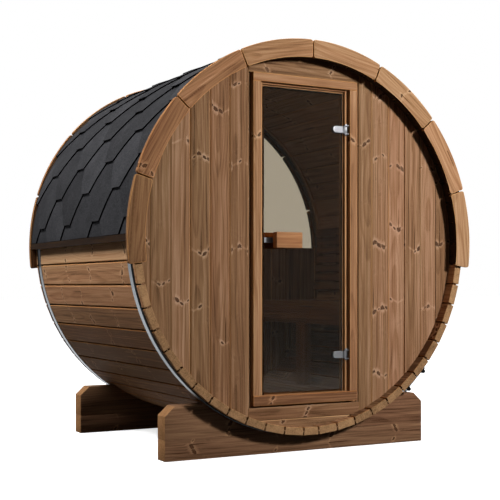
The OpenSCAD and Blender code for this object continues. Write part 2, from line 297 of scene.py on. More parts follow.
def whorls(tree, spot, seed, knots):
    """The whorls of branches that cross a board, where they slant up from the heart in a V.

    Returns a whorl's number and its luck, 1 where there is a whorl and 0 where there is none, and three
    distances: along the board from its middle, aside from its V's middle, and along from its branches.
    """
    stretch = add(tree, "Math DIVIDE", {0: spot[0], 1: WHORL_ALONG})[0]
    number = add(tree, "Math FLOOR", {0: stretch})[0]
    key = add(tree, "CombineXYZ", {0: number, 1: seed[0], 2: seed[1]})[0]
    luck = add(tree, "TexWhiteNoise", {"Vector": key})["Color"]
    luck = add(tree, "SeparateColor", {0: luck})
    there = add(tree, "Math GREATER_THAN", {0: luck[2], 1: 1 - knots})[0]
    centre = add(tree, "MapRange", {0: luck[0], 3: 0.3, 4: 0.7})[0]
    along = add(tree, "Math FRACT", {0: stretch})[0]
    along = add(tree, "Math SUBTRACT", {0: along, 1: centre})[0]
    along = add(tree, "Math MULTIPLY", {0: along, 1: WHORL_ALONG})[0]
    aside = add(tree, "Math MULTIPLY", {0: spot[1], 1: 1 / BRANCH_PERIOD})[0]
    aside = add(tree, "Math ADD", {0: aside, 1: luck[1]})[0]
    aside = add(tree, "Math FRACT", {0: aside})[0]
    aside = add(tree, "Math SUBTRACT", {0: aside, 1: 0.5})[0]
    aside = add(tree, "Math ABSOLUTE", {0: aside})[0]
    aside = add(tree, "Math MULTIPLY", {0: aside, 1: BRANCH_PERIOD})[0]
    off_branch = add(tree, "Math MULTIPLY_ADD", {0: aside, 1: -BRANCH_SLOPE, 2: along})[0]
    return number, luck, there, along, aside, off_branch


def knot_spots(tree, spot, seed, number, whorl, off_branch, ragged):
    """The knots that stand side by side on a whorl's branches.

    Returns how far from a knot's middle a point lies, in its own radii and with a ragged outline, the
    distance across the board from it, and 1 where there is a knot and 0 where there is none.
    """
    column = add(tree, "Math DIVIDE", {0: spot[1], 1: KNOT_ACROSS})[0]
    column_number = add(tree, "Math FLOOR", {0: column})[0]
    key = add(tree, "CombineXYZ", {0: number, 1: column_number, 2: seed[2]})[0]
    luck = add(tree, "TexWhiteNoise", {"Vector": key})["Color"]
    luck = add(tree, "SeparateColor", {0: luck})
    across = add(tree, "Math FRACT", {0: column})[0]
    place = add(tree, "MapRange", {0: luck[0], 3: 0.3, 4: 0.7})[0]
    across = add(tree, "Math SUBTRACT", {0: across, 1: place})[0]
    across = add(tree, "Math MULTIPLY", {0: across, 1: KNOT_ACROSS})[0]
    up = add(tree, "Math MULTIPLY_ADD", {0: luck[1], 1: -KNOT_STRAY, 2: off_branch})[0]
    up = add(tree, "Math ADD", {0: up, 1: KNOT_STRAY / 2})[0]
    size = add(tree, "MapRange", {0: luck[2], 1: KNOT_MISSING, 2: 1, 3: KNOT_LEAST, 4: KNOT_MOST})[0]
    there = add(tree, "Math GREATER_THAN", {0: luck[2], 1: KNOT_MISSING})[0]
    there = add(tree, "Math MULTIPLY", {0: there, 1: whorl})[0]
    narrow = add(tree, "Math MULTIPLY", {0: across, 1: 0.75})[0]
    flat = add(tree, "CombineXYZ", {0: up, 1: narrow})[0]
    distance = add(tree, "VectorMath LENGTH", {0: flat})["Value"]
    nearness = add(tree, "Math DIVIDE", {0: distance, 1: size})[0]
    nearness = add(tree, "Math MULTIPLY_ADD", {0: ragged, 1: 1.3, 2: nearness})[0]
    return nearness, across, there


def year_rings(tree, log, spot, ring):
    """Year rings round the heart: 0 in the pale early wood, and 1 at the edge of the late wood."""
    wander = add(tree, "VectorMath MULTIPLY", {0: spot, 1: WANDER_SCALE})[0]
    wander = add(tree, "TexNoise", {"Vector": wander, "Scale": 1, "Detail": 2})[0]
    from_heart = add(tree, "VectorMath MULTIPLY", {0: log, 1: (0, 1, 1)})[0]
    radius = add(tree, "VectorMath LENGTH", {0: from_heart})["Value"]
    radius = add(tree, "Math MULTIPLY_ADD", {0: wander, 1: 0.07, 2: radius})[0]
    year = add(tree, "Math DIVIDE", {0: radius, 1: ring})[0]
    year = add(tree, "Math FRACT", {0: year})[0]
    late = add(tree, "MapRange", {0: year, 1: 0.35, 2: 0.85, 3: 0, 4: 1}, **SMOOTH)[0]
    early = add(tree, "MapRange", {0: year, 1: 0.88, 2: 1, 3: 1, 4: 0}, **SMOOTH)[0]
    return add(tree, "Math MULTIPLY", {0: late, 1: early})[0]


def branch_marks(tree, luck, whorl, along, aside, off_branch, ragged):
    """Pale wood along a whorl's branches, and the dark thread that runs up from some whorls."""
    line = add(tree, "Math ABSOLUTE", {0: off_branch})[0]
    line = add(tree, "MapRange", {0: line, 1: 0.002, 2: 0.009, 3: 0.3, 4: 0}, **SMOOTH)[0]
    line_end = add(tree, "MapRange", {0: aside, 1: 0.03, 2: 0.055, 3: 1, 4: 0})[0]
    line = add(tree, "Math MULTIPLY", {0: line, 1: line_end})[0]
    line = add(tree, "Math MULTIPLY", {0: line, 1: whorl})[0]
    thread = add(tree, "Math MULTIPLY_ADD", {0: ragged, 1: 0.003, 2: aside})[0]
    thread = add(tree, "MapRange", {0: thread, 1: 0.0012, 2: 0.0045, 3: -0.9, 4: 0})[0]
    thread_end = add(tree, "MapRange", {0: along, 1: 0.02, 2: 0.16, 3: 1, 4: 0})[0]
    thread_start = add(tree, "Math GREATER_THAN", {0: along, 1: 0.0})[0]
    heart_shows = add(tree, "Math GREATER_THAN", {0: luck[2], 1: 0.7})[0]
    for factor in (thread_end, thread_start, heart_shows):
        thread = add(tree, "Math MULTIPLY", {0: thread, 1: factor})[0]
    return line, thread


def wood(name, deep, body, pale, knots=0.5, ring=RING):
    """Planed heat-treated spruce: brown, softly streaked, with small dark knots on pale slanting lines."""
    material, tree = new_material(name)
    log = add(tree, "Attribute", attribute_name="grain")["Vector"]
    seed = add(tree, "Attribute", attribute_name="seed")["Vector"]
    seed = add(tree, "VectorMath SNAP", {0: seed, 1: (1, 1, 1)})[0]
    tone = add(tree, "Attribute", attribute_name="tone")["Fac"]
    spot = add(tree, "VectorMath ADD", {0: log, 1: seed})[0]
    spot_parts = add(tree, "SeparateXYZ", {0: spot})
    seed_parts = add(tree, "SeparateXYZ", {0: seed})
    ragged = add(tree, "TexNoise", {"Vector": spot, "Scale": 220, "Detail": 1})[0]
    ragged = add(tree, "Math SUBTRACT", {0: ragged, 1: 0.5})[0]
    number, luck, whorl, along, aside, off_branch = whorls(tree, spot_parts, seed_parts, knots)
    nearness, across, there = knot_spots(tree, spot_parts, seed_parts, number, whorl, off_branch, ragged)

    # The grain swings round each knot
    swing = add(tree, "MapRange", {0: nearness, 1: 1, 2: 4.5, 3: 0.85, 4: 0}, **SMOOTH)[0]
    swing = add(tree, "Math MULTIPLY", {0: swing, 1: there})[0]
    shift = add(tree, "Math MULTIPLY", {0: swing, 1: across})[0]
    shift = add(tree, "CombineXYZ", {1: shift})[0]
    bent_log = add(tree, "VectorMath SUBTRACT", {0: log, 1: shift})[0]
    bent_spot = add(tree, "VectorMath SUBTRACT", {0: spot, 1: shift})[0]

    # Streaks, year rings, fine fibre and slow patches
    streak = add(tree, "VectorMath MULTIPLY", {0: bent_spot, 1: STREAK_SCALE})[0]
    streak = add(tree, "TexNoise", {"Vector": streak, "Scale": 1, "Detail": 3, "Roughness": 0.6})[0]
    rings = year_rings(tree, bent_log, bent_spot, ring)
    fibre = add(tree, "VectorMath MULTIPLY", {0: bent_spot, 1: FIBRE_SCALE})[0]
    fibre = add(tree, "TexNoise", {"Vector": fibre, "Scale": 1, "Detail": 2, "Roughness": 0.7})[0]
    patch = add(tree, "VectorMath MULTIPLY", {0: spot, 1: PATCH_SCALE})[0]
    patch = add(tree, "TexNoise", {"Vector": patch, "Scale": 1, "Detail": 1})
    shade = add(tree, "Math MULTIPLY_ADD", {0: tone, 1: 0.30, 2: 0.5})[0]
    for pattern, middle, weight in (
        (streak, 0.5, 1.15), (rings, 0.35, -0.2), (fibre, 0.5, 0.9), (patch[0], 0.5, 0.5),
    ):
        part = add(tree, "Math SUBTRACT", {0: pattern, 1: middle})[0]
        shade = add(tree, "Math MULTIPLY_ADD", {0: part, 1: weight, 2: shade})[0]

    # Pale wood lies round the knots as well as along the branches
    halo = add(tree, "MapRange", {0: nearness, 1: 1.2, 2: 3.6, 3: 0.42, 4: 0}, **SMOOTH)[0]
    halo = add(tree, "Math MULTIPLY", {0: halo, 1: there})[0]
    for mark in (halo, *branch_marks(tree, luck, whorl, along, aside, off_branch, ragged)):
        shade = add(tree, "Math ADD", {0: shade, 1: mark})[0]
    colour = add(tree, "ValToRGB", {0: shade}, stops=((0, deep), (0.5, body), (1, pale)))[0]

    # Some boards and some streaks are redder, others more yellow
    hue = add(tree, "TexWhiteNoise", {"Vector": seed})["Value"]
    slow = add(tree, "SeparateColor", {0: patch["Color"]})[1]
    hue = add(tree, "Math ADD", {0: slow, 1: hue})[0]
    hue = add(tree, "MapRange", {0: hue, 1: 0.4, 2: 1.6})[0]
    cast = add(tree, "Mix", {0: hue, 6: srgb("#FFF2EA"), 7: srgb("#F6FAF0")}, data_type="RGBA")[2]
    colour = add(tree, "Mix", {0: 1, 6: colour, 7: cast}, data_type="RGBA", blend_type="MULTIPLY")[2]

    # A knot is darkest round its rim
    eye = add(tree, "MapRange", {0: nearness, 1: 0.2, 2: 1.1})[0]
    eye = add(tree, "ValToRGB", {0: eye}, stops=((0, "#4A2C1C"), (0.7, "#2E1A10"), (1, "#1C0F09")))[0]
    mask = add(tree, "MapRange", {0: nearness, 1: 1.25, 2: 0.95, 3: 0, 4: 0.92}, **SMOOTH)[0]
    mask = add(tree, "Math MULTIPLY", {0: mask, 1: there})[0]
    colour = add(tree, "Mix", {0: mask, 6: colour, 7: eye}, data_type="RGBA")[2]

    height = add(tree, "Math MULTIPLY_ADD", {0: rings, 1: 0.4, 2: fibre})[0]
    relief = add(tree, "Bump", {"Height": height, "Strength": 0.35, "Distance": 0.0008})[0]
    gloss = add(tree, "MapRange", {0: fibre, 3: 0.55, 4: 0.8})[0]
    surface = add(tree, "BsdfPrincipled", {
        "Base Color": colour, "Roughness": gloss, "Specular IOR Level": DULL, "Normal": relief,
    })[0]
    add(tree, "OutputMaterial", {"Surface": surface})
    return material


def end_grain(name, deep, pale):
    """Sawn end grain of the same spruce: duller and paler, with the rings as arcs and a few dark pores."""
    material, tree = new_material(name)
    log = add(tree, "Attribute", attribute_name="grain")["Vector"]
    seed = add(tree, "Attribute", attribute_name="seed")["Vector"]
    tone = add(tree, "Attribute", attribute_name="tone")["Fac"]
    spot = add(tree, "VectorMath ADD", {0: log, 1: seed})[0]
    across = add(tree, "VectorMath MULTIPLY", {0: log, 1: (0, 1, 1)})[0]
    radius = add(tree, "VectorMath LENGTH", {0: across})["Value"]
    year = add(tree, "Math DIVIDE", {0: radius, 1: END_RING})[0]
    year = add(tree, "Math FRACT", {0: year})[0]
    # Saw marks and pores are well under 1 mm, and drawn far coarser so that they show
    grit = add(tree, "TexNoise", {"Vector": spot, "Scale": 150, "Detail": 3, "Roughness": 0.7})[0]
    patch = add(tree, "TexNoise", {"Vector": spot, "Scale": 22, "Detail": 2})[0]
    shade = add(tree, "Math MULTIPLY_ADD", {0: year, 1: -0.4, 2: 0.12})[0]
    for pattern, weight in ((grit, 1.1), (patch, 0.5), (tone, 0.08)):
        shade = add(tree, "Math MULTIPLY_ADD", {0: pattern, 1: weight, 2: shade})[0]
    colour = add(tree, "ValToRGB", {0: shade}, stops=((0.2, deep), (1, pale)))[0]
    relief = add(tree, "Bump", {"Height": grit, "Strength": 0.5, "Distance": 0.001})[0]
    surface = add(tree, "BsdfPrincipled", {
        "Base Color": colour, "Roughness": 0.85, "Specular IOR Level": DULL, "Normal": relief,
    })[0]
    add(tree, "OutputMaterial", {"Surface": surface})
    return material


def bitumen_shingle():
    """Mineral-granule bitumen: dull charcoal with a fine grit, each shingle a touch different."""
    material, tree = new_material("bitumen_shingle")
    place = add(tree, "TexCoord")["Object"]
    tone = add(tree, "Attribute", attribute_name="tone")["Fac"]
    # Real granules are about 1.5 mm; these are drawn three times as coarse so that they show
    granule = add(tree, "TexVoronoi", {"Vector": place, "Scale": 220})
    pepper = add(tree, "SeparateColor", {0: granule["Color"]})[0]
    patch = add(tree, "TexNoise", {"Vector": place, "Scale": 9, "Detail": 3})[0]
    shade = add(tree, "Math MULTIPLY_ADD", {0: pepper, 1: 0.45, 2: 0.05})[0]
    for pattern, weight in ((patch, 0.5), (tone, 0.16)):
        shade = add(tree, "Math MULTIPLY_ADD", {0: pattern, 1: weight, 2: shade})[0]
    colour = add(tree, "ValToRGB", {0: shade}, stops=((0, "#1A1A1C"), (0.5, "#2C2C2E"), (1, "#424245")))[0]
    relief = add(tree, "Bump", {"Height": granule["Distance"], "Strength": 0.6, "Distance": 0.0015})[0]
    surface = add(tree, "BsdfPrincipled", {
        "Base Color": colour, "Roughness": 0.9, "Specular IOR Level": 0.03, "Normal": relief,
    })[0]
    add(tree, "OutputMaterial", {"Surface": surface})
    return material


def bitumen_edge():
    """The cut edge of a shingle: bare bitumen, almost black."""
    material, tree = new_material("bitumen_edge")
    place = add(tree, "TexCoord")["Object"]
    # Torn granules, drawn as coarse as those on the face
    grit = add(tree, "TexNoise", {"Vector": place, "Scale": 300, "Detail": 2})[0]
    colour = add(tree, "ValToRGB", {0: grit}, stops=((0.3, "#030303"), (0.7, "#0A0A0B")))[0]
    surface = add(tree, "BsdfPrincipled", {
        "Base Color": colour, "Roughness": 0.95, "Specular IOR Level": DULL,
    })[0]
    add(tree, "OutputMaterial", {"Surface": surface})
    return material


def stainless_steel(name, dark, light, roughness, brush_scale):
    """Satin stainless steel: grey, with fine brush marks along one direction.

    Real brush marks are about 0.1 mm apart, and are drawn about 1 mm apart so that they show.
    """
    material, tree = new_material(name)
    place = add(tree, "TexCoord")["Object"]
    lines = add(tree, "VectorMath MULTIPLY", {0: place, 1: brush_scale})[0]
    lines = add(tree, "TexNoise", {"Vector": lines, "Scale": 1, "Detail": 3})[0]
    colour = add(tree, "ValToRGB", {0: lines}, stops=((0.3, dark), (0.7, light)))[0]
    gloss = add(tree, "MapRange", {0: lines, 3: roughness - 0.08, 4: roughness + 0.08})[0]
    relief = add(tree, "Bump", {"Height": lines, "Strength": 0.2, "Distance": 0.0003})[0]
    surface = add(tree, "BsdfPrincipled", {
        "Base Color": colour, "Metallic": 1, "Roughness": gloss, "Normal": relief,
    })[0]
    add(tree, "OutputMaterial", {"Surface": surface})
    return material


def black_plastic(name, colour, roughness):
    """Moulded black plastic or rubber: dull, with a faint mottle."""
    material, tree = new_material(name)
    place = add(tree, "TexCoord")["Object"]
    # The mould's grain is about 0.5 mm, and drawn at 2.5 mm so that it shows
    mottle = add(tree, "TexNoise", {"Vector": place, "Scale": 400, "Detail": 2})[0]
    gloss = add(tree, "MapRange", {0: mottle, 3: roughness - 0.1, 4: roughness + 0.1})[0]
    surface = add(tree, "BsdfPrincipled", {
        "Base Color": srgb(colour), "Roughness": gloss, "Specular IOR Level": DULL,
    })[0]
    add(tree, "OutputMaterial", {"Surface": surface})
    return material


# Real glass has 1.5; at this lower value the white surroundings veil the dim cabin no more than they should
GLASS_IOR = 1.175


def tinted_glass(name, tint, lamp_tint):
    """Toughened glass tinted bronze in the melt: clear, brownish, with a faint mirror of its surroundings."""
    material, tree = new_material(name)
    ray = add(tree, "LightPath")
    glass = add(tree, "BsdfPrincipled", {
        "Base Color": srgb(tint), "Roughness": 0, "Transmission Weight": 1, "IOR": GLASS_IOR,
        "Specular Tint": srgb("#FFF4EA"),
    })[0]
    through = add(tree, "BsdfTransparent", {"Color": srgb(lamp_tint)})[0]
    # Light that comes in from the lamps and the sky goes straight through, tinted
    unseen = add(tree, "Math MAXIMUM", {0: ray["Is Shadow Ray"], 1: ray["Is Diffuse Ray"]})[0]
    surface = add(tree, "MixShader", {0: unseen, 1: glass, 2: through})[0]
    add(tree, "OutputMaterial", {"Surface": surface})
    return material


WALL_WOOD = wood("wall_spruce", "#543A28", "#8C694E", "#B5937A", knots=0.75)
# Paler copy of the wall wood for chamfers: a painted highlight where the edges catch the light
WALL_EDGE_HIGHLIGHT = wood("wall_edge_highlight_spruce", "#96704E", "#B88E68", "#D0AA84", knots=0)
STAVE_WOOD = wood("stave_spruce", "#644834", "#A87E5E", "#C8A07E", knots=0.8)
# Paler copy of the stave wood for chamfers: a painted highlight
STAVE_EDGE_HIGHLIGHT = wood("stave_edge_highlight_spruce", "#9A683A", "#C08A5A", "#D8A878", knots=0)
# The side of the overhang that faces the barrel's middle is painted nearly black: painted shade, where little
# light reaches it
OVERHANG_PAINTED_SHADE = wood("overhang_painted_shade_spruce", "#140C07", "#261910", "#3E2B1C", knots=0)
ARCH_WOOD = wood("arch_spruce", "#6A4832", "#9E7656", "#C09A7A", knots=0.12)
# Paler copy of the arch wood for the chamfers of arches and casing: a painted highlight
ARCH_EDGE_HIGHLIGHT = wood("arch_edge_highlight_spruce", "#A87448", "#CC9866", "#E0B68C", knots=0)
FRAME_WOOD = wood("frame_spruce", "#724C32", "#A67A56", "#C49870", knots=0)
CASING_WOOD = wood("casing_spruce", "#634430", "#9C7556", "#C4A080", knots=0.5)
CRADLE_WOOD = wood("cradle_spruce", "#4A3222", "#80604A", "#A27E60", knots=0.5, ring=CRADLE_RING)
BENCH_WOOD = wood("bench_spruce", "#4A3020", "#7A5438", "#A07450", knots=0.2)
HANDLE_WOOD = wood("handle_oiled_wood", "#84553A", "#A47452", "#BA8A64", knots=0)
BATTEN_WOOD = wood("batten_stained_wood", "#100906", "#20140C", "#322214", knots=0)
END_GRAIN = end_grain("spruce_end_grain", "#4C3320", "#B88F66")
ARCH_END = end_grain("arch_end_grain", "#5A3C26", "#A47850")
CRADLE_END = end_grain("cradle_end_grain", "#5A3C26", "#A87C54")
BATTEN_END = end_grain("batten_end_grain", "#120C08", "#33241A")
SHINGLE = bitumen_shingle()
SHINGLE_EDGE = bitumen_edge()
BAND_STEEL = stainless_steel("band_stainless_steel", "#43484C", "#666C72", 0.34, (90, 900, 90))
FITTING_STEEL = stainless_steel("fitting_stainless_steel", "#48484A", "#646466", 0.36, (60, 60, 1500))
# Black rubber for the door's seal, also used as painted shade in the strips beside the bands
RUBBER_AND_SHADE = black_plastic("black_rubber_and_painted_shade", "#0B0B0B", 0.7)
CAP_PLASTIC = black_plastic("black_plastic", "#101012", 0.5)
DOOR_GLASS = tinted_glass("bronze_toughened_glass", "#C8C2B6", "#DAC4A6")
WINDOW_GLASS = tinted_glass("bronze_window_glass", "#CAC3B6", "#988C7E")

# A board's finishes: its faces, its ends and its chamfers, where a paler chamfer finish is a painted
# highlight, and for staves and arches the overhang's painted shade
STAVE_FINISH = [STAVE_WOOD, END_GRAIN, STAVE_EDGE_HIGHLIGHT, OVERHANG_PAINTED_SHADE]
ARCH_FINISH = [ARCH_WOOD, ARCH_END, ARCH_EDGE_HIGHLIGHT, OVERHANG_PAINTED_SHADE]
BATTEN_FINISH = [BATTEN_WOOD, BATTEN_END, BATTEN_WOOD]
CRADLE_FINISH = [CRADLE_WOOD, CRADLE_END, CRADLE_WOOD]
WALL_FINISH = [WALL_WOOD, END_GRAIN, WALL_EDGE_HIGHLIGHT]
CASING_FINISH = [CASING_WOOD, ARCH_END, ARCH_EDGE_HIGHLIGHT]
FRAME_FINISH = [FRAME_WOOD, ARCH_END, FRAME_WOOD]
BENCH_FINISH = [BENCH_WOOD, END_GRAIN, BENCH_WOOD]


# ---- Barrel ----

STAVE_ANGLE = math.radians(6.75)
BOTTOM_STAVE_ANGLE = math.radians(5.4)
BOTTOM_HALF_ANGLE = BOTTOM_STAVE_ANGLE / 2 + 2 * STAVE_ANGLE
STAVES_IN_GROUP = 6
STAVE_SLOT = 0.0048
STAVE_SLOT_DEPTH = 0.019


def on_barrel(angle):
    """The place on the barrel's centre line whose X runs along it and whose Z points out at an angle."""
    return axes(BACK, Vector((math.cos(angle), 0, math.sin(angle))), AXIS)


def hoop(radii, ends, start, turn, steps, side=1):
    """A flat bar bent round the barrel's axis, between two radii and two distances along the barrel.

    It starts at an angle above the level through the axis, on the right, or on the left where side is -1.
    """
    (inner, outer), (near, far) = radii, ends
    shape = new_shape()
    section = []
    for radius, y in ((inner, near), (outer, near), (outer, far), (inner, far)):
        corner = (side * radius * math.cos(start), y, AXIS_Z + radius * math.sin(start))
        section.append(shape.verts.new(corner))
    face = shape.faces.new(section)
    bmesh.ops.spin(shape, geom=[face], cent=AXIS, axis=BACK, angle=turn, steps=steps)
    bmesh.ops.recalc_face_normals(shape, faces=shape.faces)
    return shape


def stave(piece, middle, width, tone=None):
    """Adds one stave. Its sides narrow in a step near each face, which leaves a dark joint line."""
    half = width / 2
    shape = new_shape()
    bmesh.ops.create_cube(shape, size=1)
    for vert in shape.verts:
        radius = BARREL_R - STAVE_SLOT_DEPTH if vert.co.z > 0 else INNER_R + STAVE_SLOT_DEPTH
        side = math.copysign(radius * math.sin(half), vert.co.y)
        vert.co = Vector((2 * HALF_LEN * vert.co.x, side, radius * math.cos(half)))
    # The ends' upright edges are eased too, so that the joints show in the end grain
    upright = [edge for edge in shape.edges if abs(edge.verts[0].co.z - edge.verts[1].co.z) > 0.005]
    bevel(shape, upright, 0.0025, 1)
    faces = sorted(shape.faces, key=lambda face: face.calc_center_median().z)
    for face, radius in ((faces[0], INNER_R), (faces[-1], BARREL_R)):
        face_half = radius * math.sin(half) - STAVE_SLOT
        face = raise_step(shape, face, STAVE_SLOT_DEPTH * math.cos(half), -face_half, face_half)
        bevel(shape, face.edges, EASE)
    for wall in (-WALL_FACE, WALL_FACE):
        cut(shape, (wall, 0, 0), (1, 0, 0), keep_one_side=False)
    saw(piece, shape, on_barrel(middle), tone)


# Lower than this, from the barrel's axis, no arch shelters the staves, so their inner side gets no painted
# shade and stays brown
PAINTED_SHADE_FROM = -0.13


def paint_overhang_shade(piece, radius):
    """Gives the overhang's painted shade to what lies outside the end walls and within a radius of the
    barrel's axis.
    """
    for face in piece.faces:
        out = face.calc_center_median() - AXIS
        if abs(out.y) > WALL_FACE and out.xz.length < radius and out.z > PAINTED_SHADE_FROM:
            face.material_index = 3


def stave_group(node, middles, width=STAVE_ANGLE, tones=None):
    """Builds the staves that one CAD node stands for."""
    piece = new_shape()
    for i, middle in enumerate(middles):
        stave(piece, middle, width, tones and tones[i])
    paint_overhang_shade(piece, INNER_R + 0.004)
    show(piece, node + "_boards", STAVE_FINISH, [node])


bottom = new_shape()
stave(bottom, -math.pi / 2, BOTTOM_STAVE_ANGLE)
for i in range(2):
    turn = BOTTOM_STAVE_ANGLE / 2 + (i + 0.5) * STAVE_ANGLE
    stave(bottom, -math.pi / 2 - turn, STAVE_ANGLE)
    stave(bottom, -math.pi / 2 + turn, STAVE_ANGLE)
show(bottom, "staves_bottom_boards", STAVE_FINISH, ["staves_bottom"])

# How pale the staves of the lower two groups are, from the lowest up: the lower staves darker as painted
# shade, and the one under the roof's edge paler as painted light against its shadow. The roof's edge hides
# the last.
STAVE_SHADE_TONES = ((-1.2, -1.2, -1.4, -1.6, -1.8, -2.0), (-1.5, -0.5, 0.3, 0.15, 1.1, 0.0), None, None)

for group in range(4):
    tones = STAVE_SHADE_TONES[group]
    start = -math.pi / 2 + BOTTOM_HALF_ANGLE + group * STAVES_IN_GROUP * STAVE_ANGLE
    middles = [start + (i + 0.5) * STAVE_ANGLE for i in range(STAVES_IN_GROUP)]
    stave_group(f"staves_right_{group + 1}", middles, tones=tones)
    stave_group(f"staves_left_{group + 1}", [math.pi - middle for middle in middles], tones=tones)

CLOSING_ANGLE = 2 * math.pi - 2 * (BOTTOM_HALF_ANGLE + 4 * STAVES_IN_GROUP * STAVE_ANGLE)
stave_group("stave_closing", [math.pi / 2], CLOSING_ANGLE)


# ---- Arches ----

ARCH_W = 0.097
ARCH_T = -HALF_LEN - low("arch_front_right").y
ARCH_DROP = math.radians(7.3)
ARCH_BOARDS = 4
ARCH_STEP = (math.pi / 2 + ARCH_DROP) / ARCH_BOARDS
ARCH_GAP = 0.007
# How pale the boards of the front arch are, from the lowest on each side up: darker on the left and paler on
# the right, painted shade and light for how the light falls off across the arch
ARCH_SHADE_TONES = {"left": (-0.9, -0.7, -0.4, -0.1), "right": (0.3, 0.4, 0.4, 0.3)}


def arch_board(piece, middle, side, tone):
    """Adds one curved board with rounded corners, sawn with straight grain. side is +1 at the rear."""
    outward = Vector((math.cos(middle), 0, math.sin(middle)))
    face = BACK * side
    along = outward.cross(face)
    mid_r = ARCH_R - ARCH_W / 2
    half = ARCH_STEP / 2 - ARCH_GAP / 2 / mid_r
    shape = new_shape()
    corners = [(ARCH_R - ARCH_W, 0), (ARCH_R, 0), (ARCH_R, ARCH_T), (ARCH_R - ARCH_W, ARCH_T)]
    verts = [shape.verts.new((r * math.sin(half), r * math.cos(half), z)) for r, z in corners]
    section = shape.faces.new(verts)
    bmesh.ops.spin(shape, geom=[section], cent=(0, 0, 0), axis=(0, 0, 1), angle=2 * half, steps=14)
    bmesh.ops.recalc_face_normals(shape, faces=shape.faces)
    upright = [
        e for e in sharp_edges(shape)
        if (e.verts[0].co - e.verts[1].co).xy.length < 1e-5
    ]
    bevel(shape, upright, 0.012, 4)
    bevel(shape, sharp_edges(shape), EASE)
    saw(piece, shape, axes(along, face, AXIS + face * HALF_LEN), tone)


for end, side in (("front", -1), ("rear", 1)):
    for hand in ("left", "right"):
        piece = new_shape()
        for i in range(ARCH_BOARDS):
            middle = -ARCH_DROP + (i + 0.5) * ARCH_STEP
            if hand == "left":
                middle = math.pi - middle
            arch_board(piece, middle, side, ARCH_SHADE_TONES[hand][i])
        paint_overhang_shade(piece, ARCH_R - ARCH_W + 0.001)
        node = f"arch_{end}_{hand}"
        show(piece, node + "_boards", ARCH_FINISH, [node], smooth=True)


# ---- Roof ----

ROOF_R = round(high("roof_right").z - AXIS_Z, 3) - 0.003
SHINGLE_T = 0.007
ROW_RISE = 0.1635
TOOTH_FLAT = 0.107
TOOTH_SLANT = 0.108
TOOTH_PITCH = 2 * (TOOTH_FLAT + TOOTH_SLANT)
FIRST_ROW = 0.101
FIRST_TOOTH = 0.1245
EAVE_ARC = ROOF_R * math.asin(high("roof_battens").z - AXIS_Z) + 0.002
RIDGE_ARC = ROOF_R * math.pi / 2
BEND_STEP = 0.04
# How many rows up a shingle reaches, under the next ones
SHINGLE_REACH = 2.08
# A thin dark sheet lies on the staves, under the shingles
UNDERLAY_RADII = (BARREL_R + 0.0002, BARREL_R + 0.0015)


def wrap_on_roof(shape, row_start, side):
    """Bends a flat shingle, with X along the barrel and Y up the roof, round the barrel on one side.

    The shingle leans in as it goes up, so that the next row lies on it.
    """
    for vert in shape.verts:
        y, arc, lift = vert.co
        lean = SHINGLE_T * (2 - (arc - row_start) / ROW_RISE)
        radius = ROOF_R - 3 * SHINGLE_T + lean + lift
        angle = arc / ROOF_R
        vert.co = Vector((side * radius * math.cos(angle), y, AXIS_Z + radius * math.sin(angle)))
    bmesh.ops.recalc_face_normals(shape, faces=shape.faces)


def shingle(piece, centre, row_start, side):
    """Adds one six-sided shingle, cut off at the barrel's ends, the eave and the ridge."""
    flat, wide, rise = TOOTH_FLAT / 2, TOOTH_FLAT / 2 + TOOTH_SLANT, ROW_RISE
    top = SHINGLE_REACH * rise
    outline = [(-flat, 0), (flat, 0), (wide, rise), (wide, top), (-wide, top), (-wide, rise)]
    shape = new_shape()
    shape.faces.new([shape.verts.new((centre + y, row_start + s, 0)) for y, s in outline])
    cut(shape, (-HALF_LEN, 0, 0), (1, 0, 0))
    cut(shape, (HALF_LEN, 0, 0), (-1, 0, 0))
    cut(shape, (0, EAVE_ARC, 0), (0, 1, 0))
    cut(shape, (0, RIDGE_ARC, 0), (0, -1, 0))
    if not shape.faces:
        shape.free()
        return
    for k in range(1, math.ceil(top / BEND_STEP)):
        cut(shape, (0, row_start + k * BEND_STEP, 0), (0, 1, 0), keep_one_side=False)
    bmesh.ops.translate(shape, vec=(0, 0, SHINGLE_T), verts=shape.verts)
    thicken(shape, SHINGLE_T)
    for face in shape.faces:
        face.material_index = 0 if face.normal.z > 0.5 else 1
    pale = shape.verts.layers.float["tone"]
    tone = RNG.uniform(-1, 1)
    for vert in shape.verts:
        vert[pale] = tone
    wrap_on_roof(shape, row_start, side)
    join(piece, shape)


for hand, side in (("left", -1), ("right", 1)):
    piece = new_shape()
    rows = math.ceil(RIDGE_ARC / ROW_RISE)
    for row in range(-2, rows):
        first = FIRST_TOOTH - row * TOOTH_PITCH / 2
        first = (first + HALF_LEN) % TOOTH_PITCH - HALF_LEN - TOOTH_PITCH
        for k in range(6):
            shingle(piece, first + k * TOOTH_PITCH, FIRST_ROW + row * ROW_RISE, side)
    start = EAVE_ARC / ROOF_R
    turn = -side * (math.pi / 2 - start)
    sheet = hoop(UNDERLAY_RADII, (-HALF_LEN, HALF_LEN), start, turn, 40, side)
    set_finish(sheet, 1)
    join(piece, sheet)
    node = f"roof_{hand}"
    show(piece, node + "_shingles", [SHINGLE, SHINGLE_EDGE], [node], smooth=True)

battens = new_shape()
batten_low, batten_high = low("roof_battens"), high("roof_battens")
for side in (-1, 1):
    inner = (side * BARREL_R * 0.9995, -HALF_LEN, batten_low.z)
    outer = (side * batten_high.x, HALF_LEN, batten_high.z)
    plank(battens, inner, outer, BACK, RIGHT * side, tone=0)
show(battens, "roof_battens_boards", BATTEN_FINISH, ["roof_battens"])


# ---- Cradles ----

CRADLE_HALF = high("cradle_front").x
CRADLE_H = high("cradle_front").z
CRADLE_T = high("cradle_front").y - low("cradle_front").y
CRADLE_CHAMFER = (0.055, 0.050)
CRADLE_JOINT_Z = 0.108


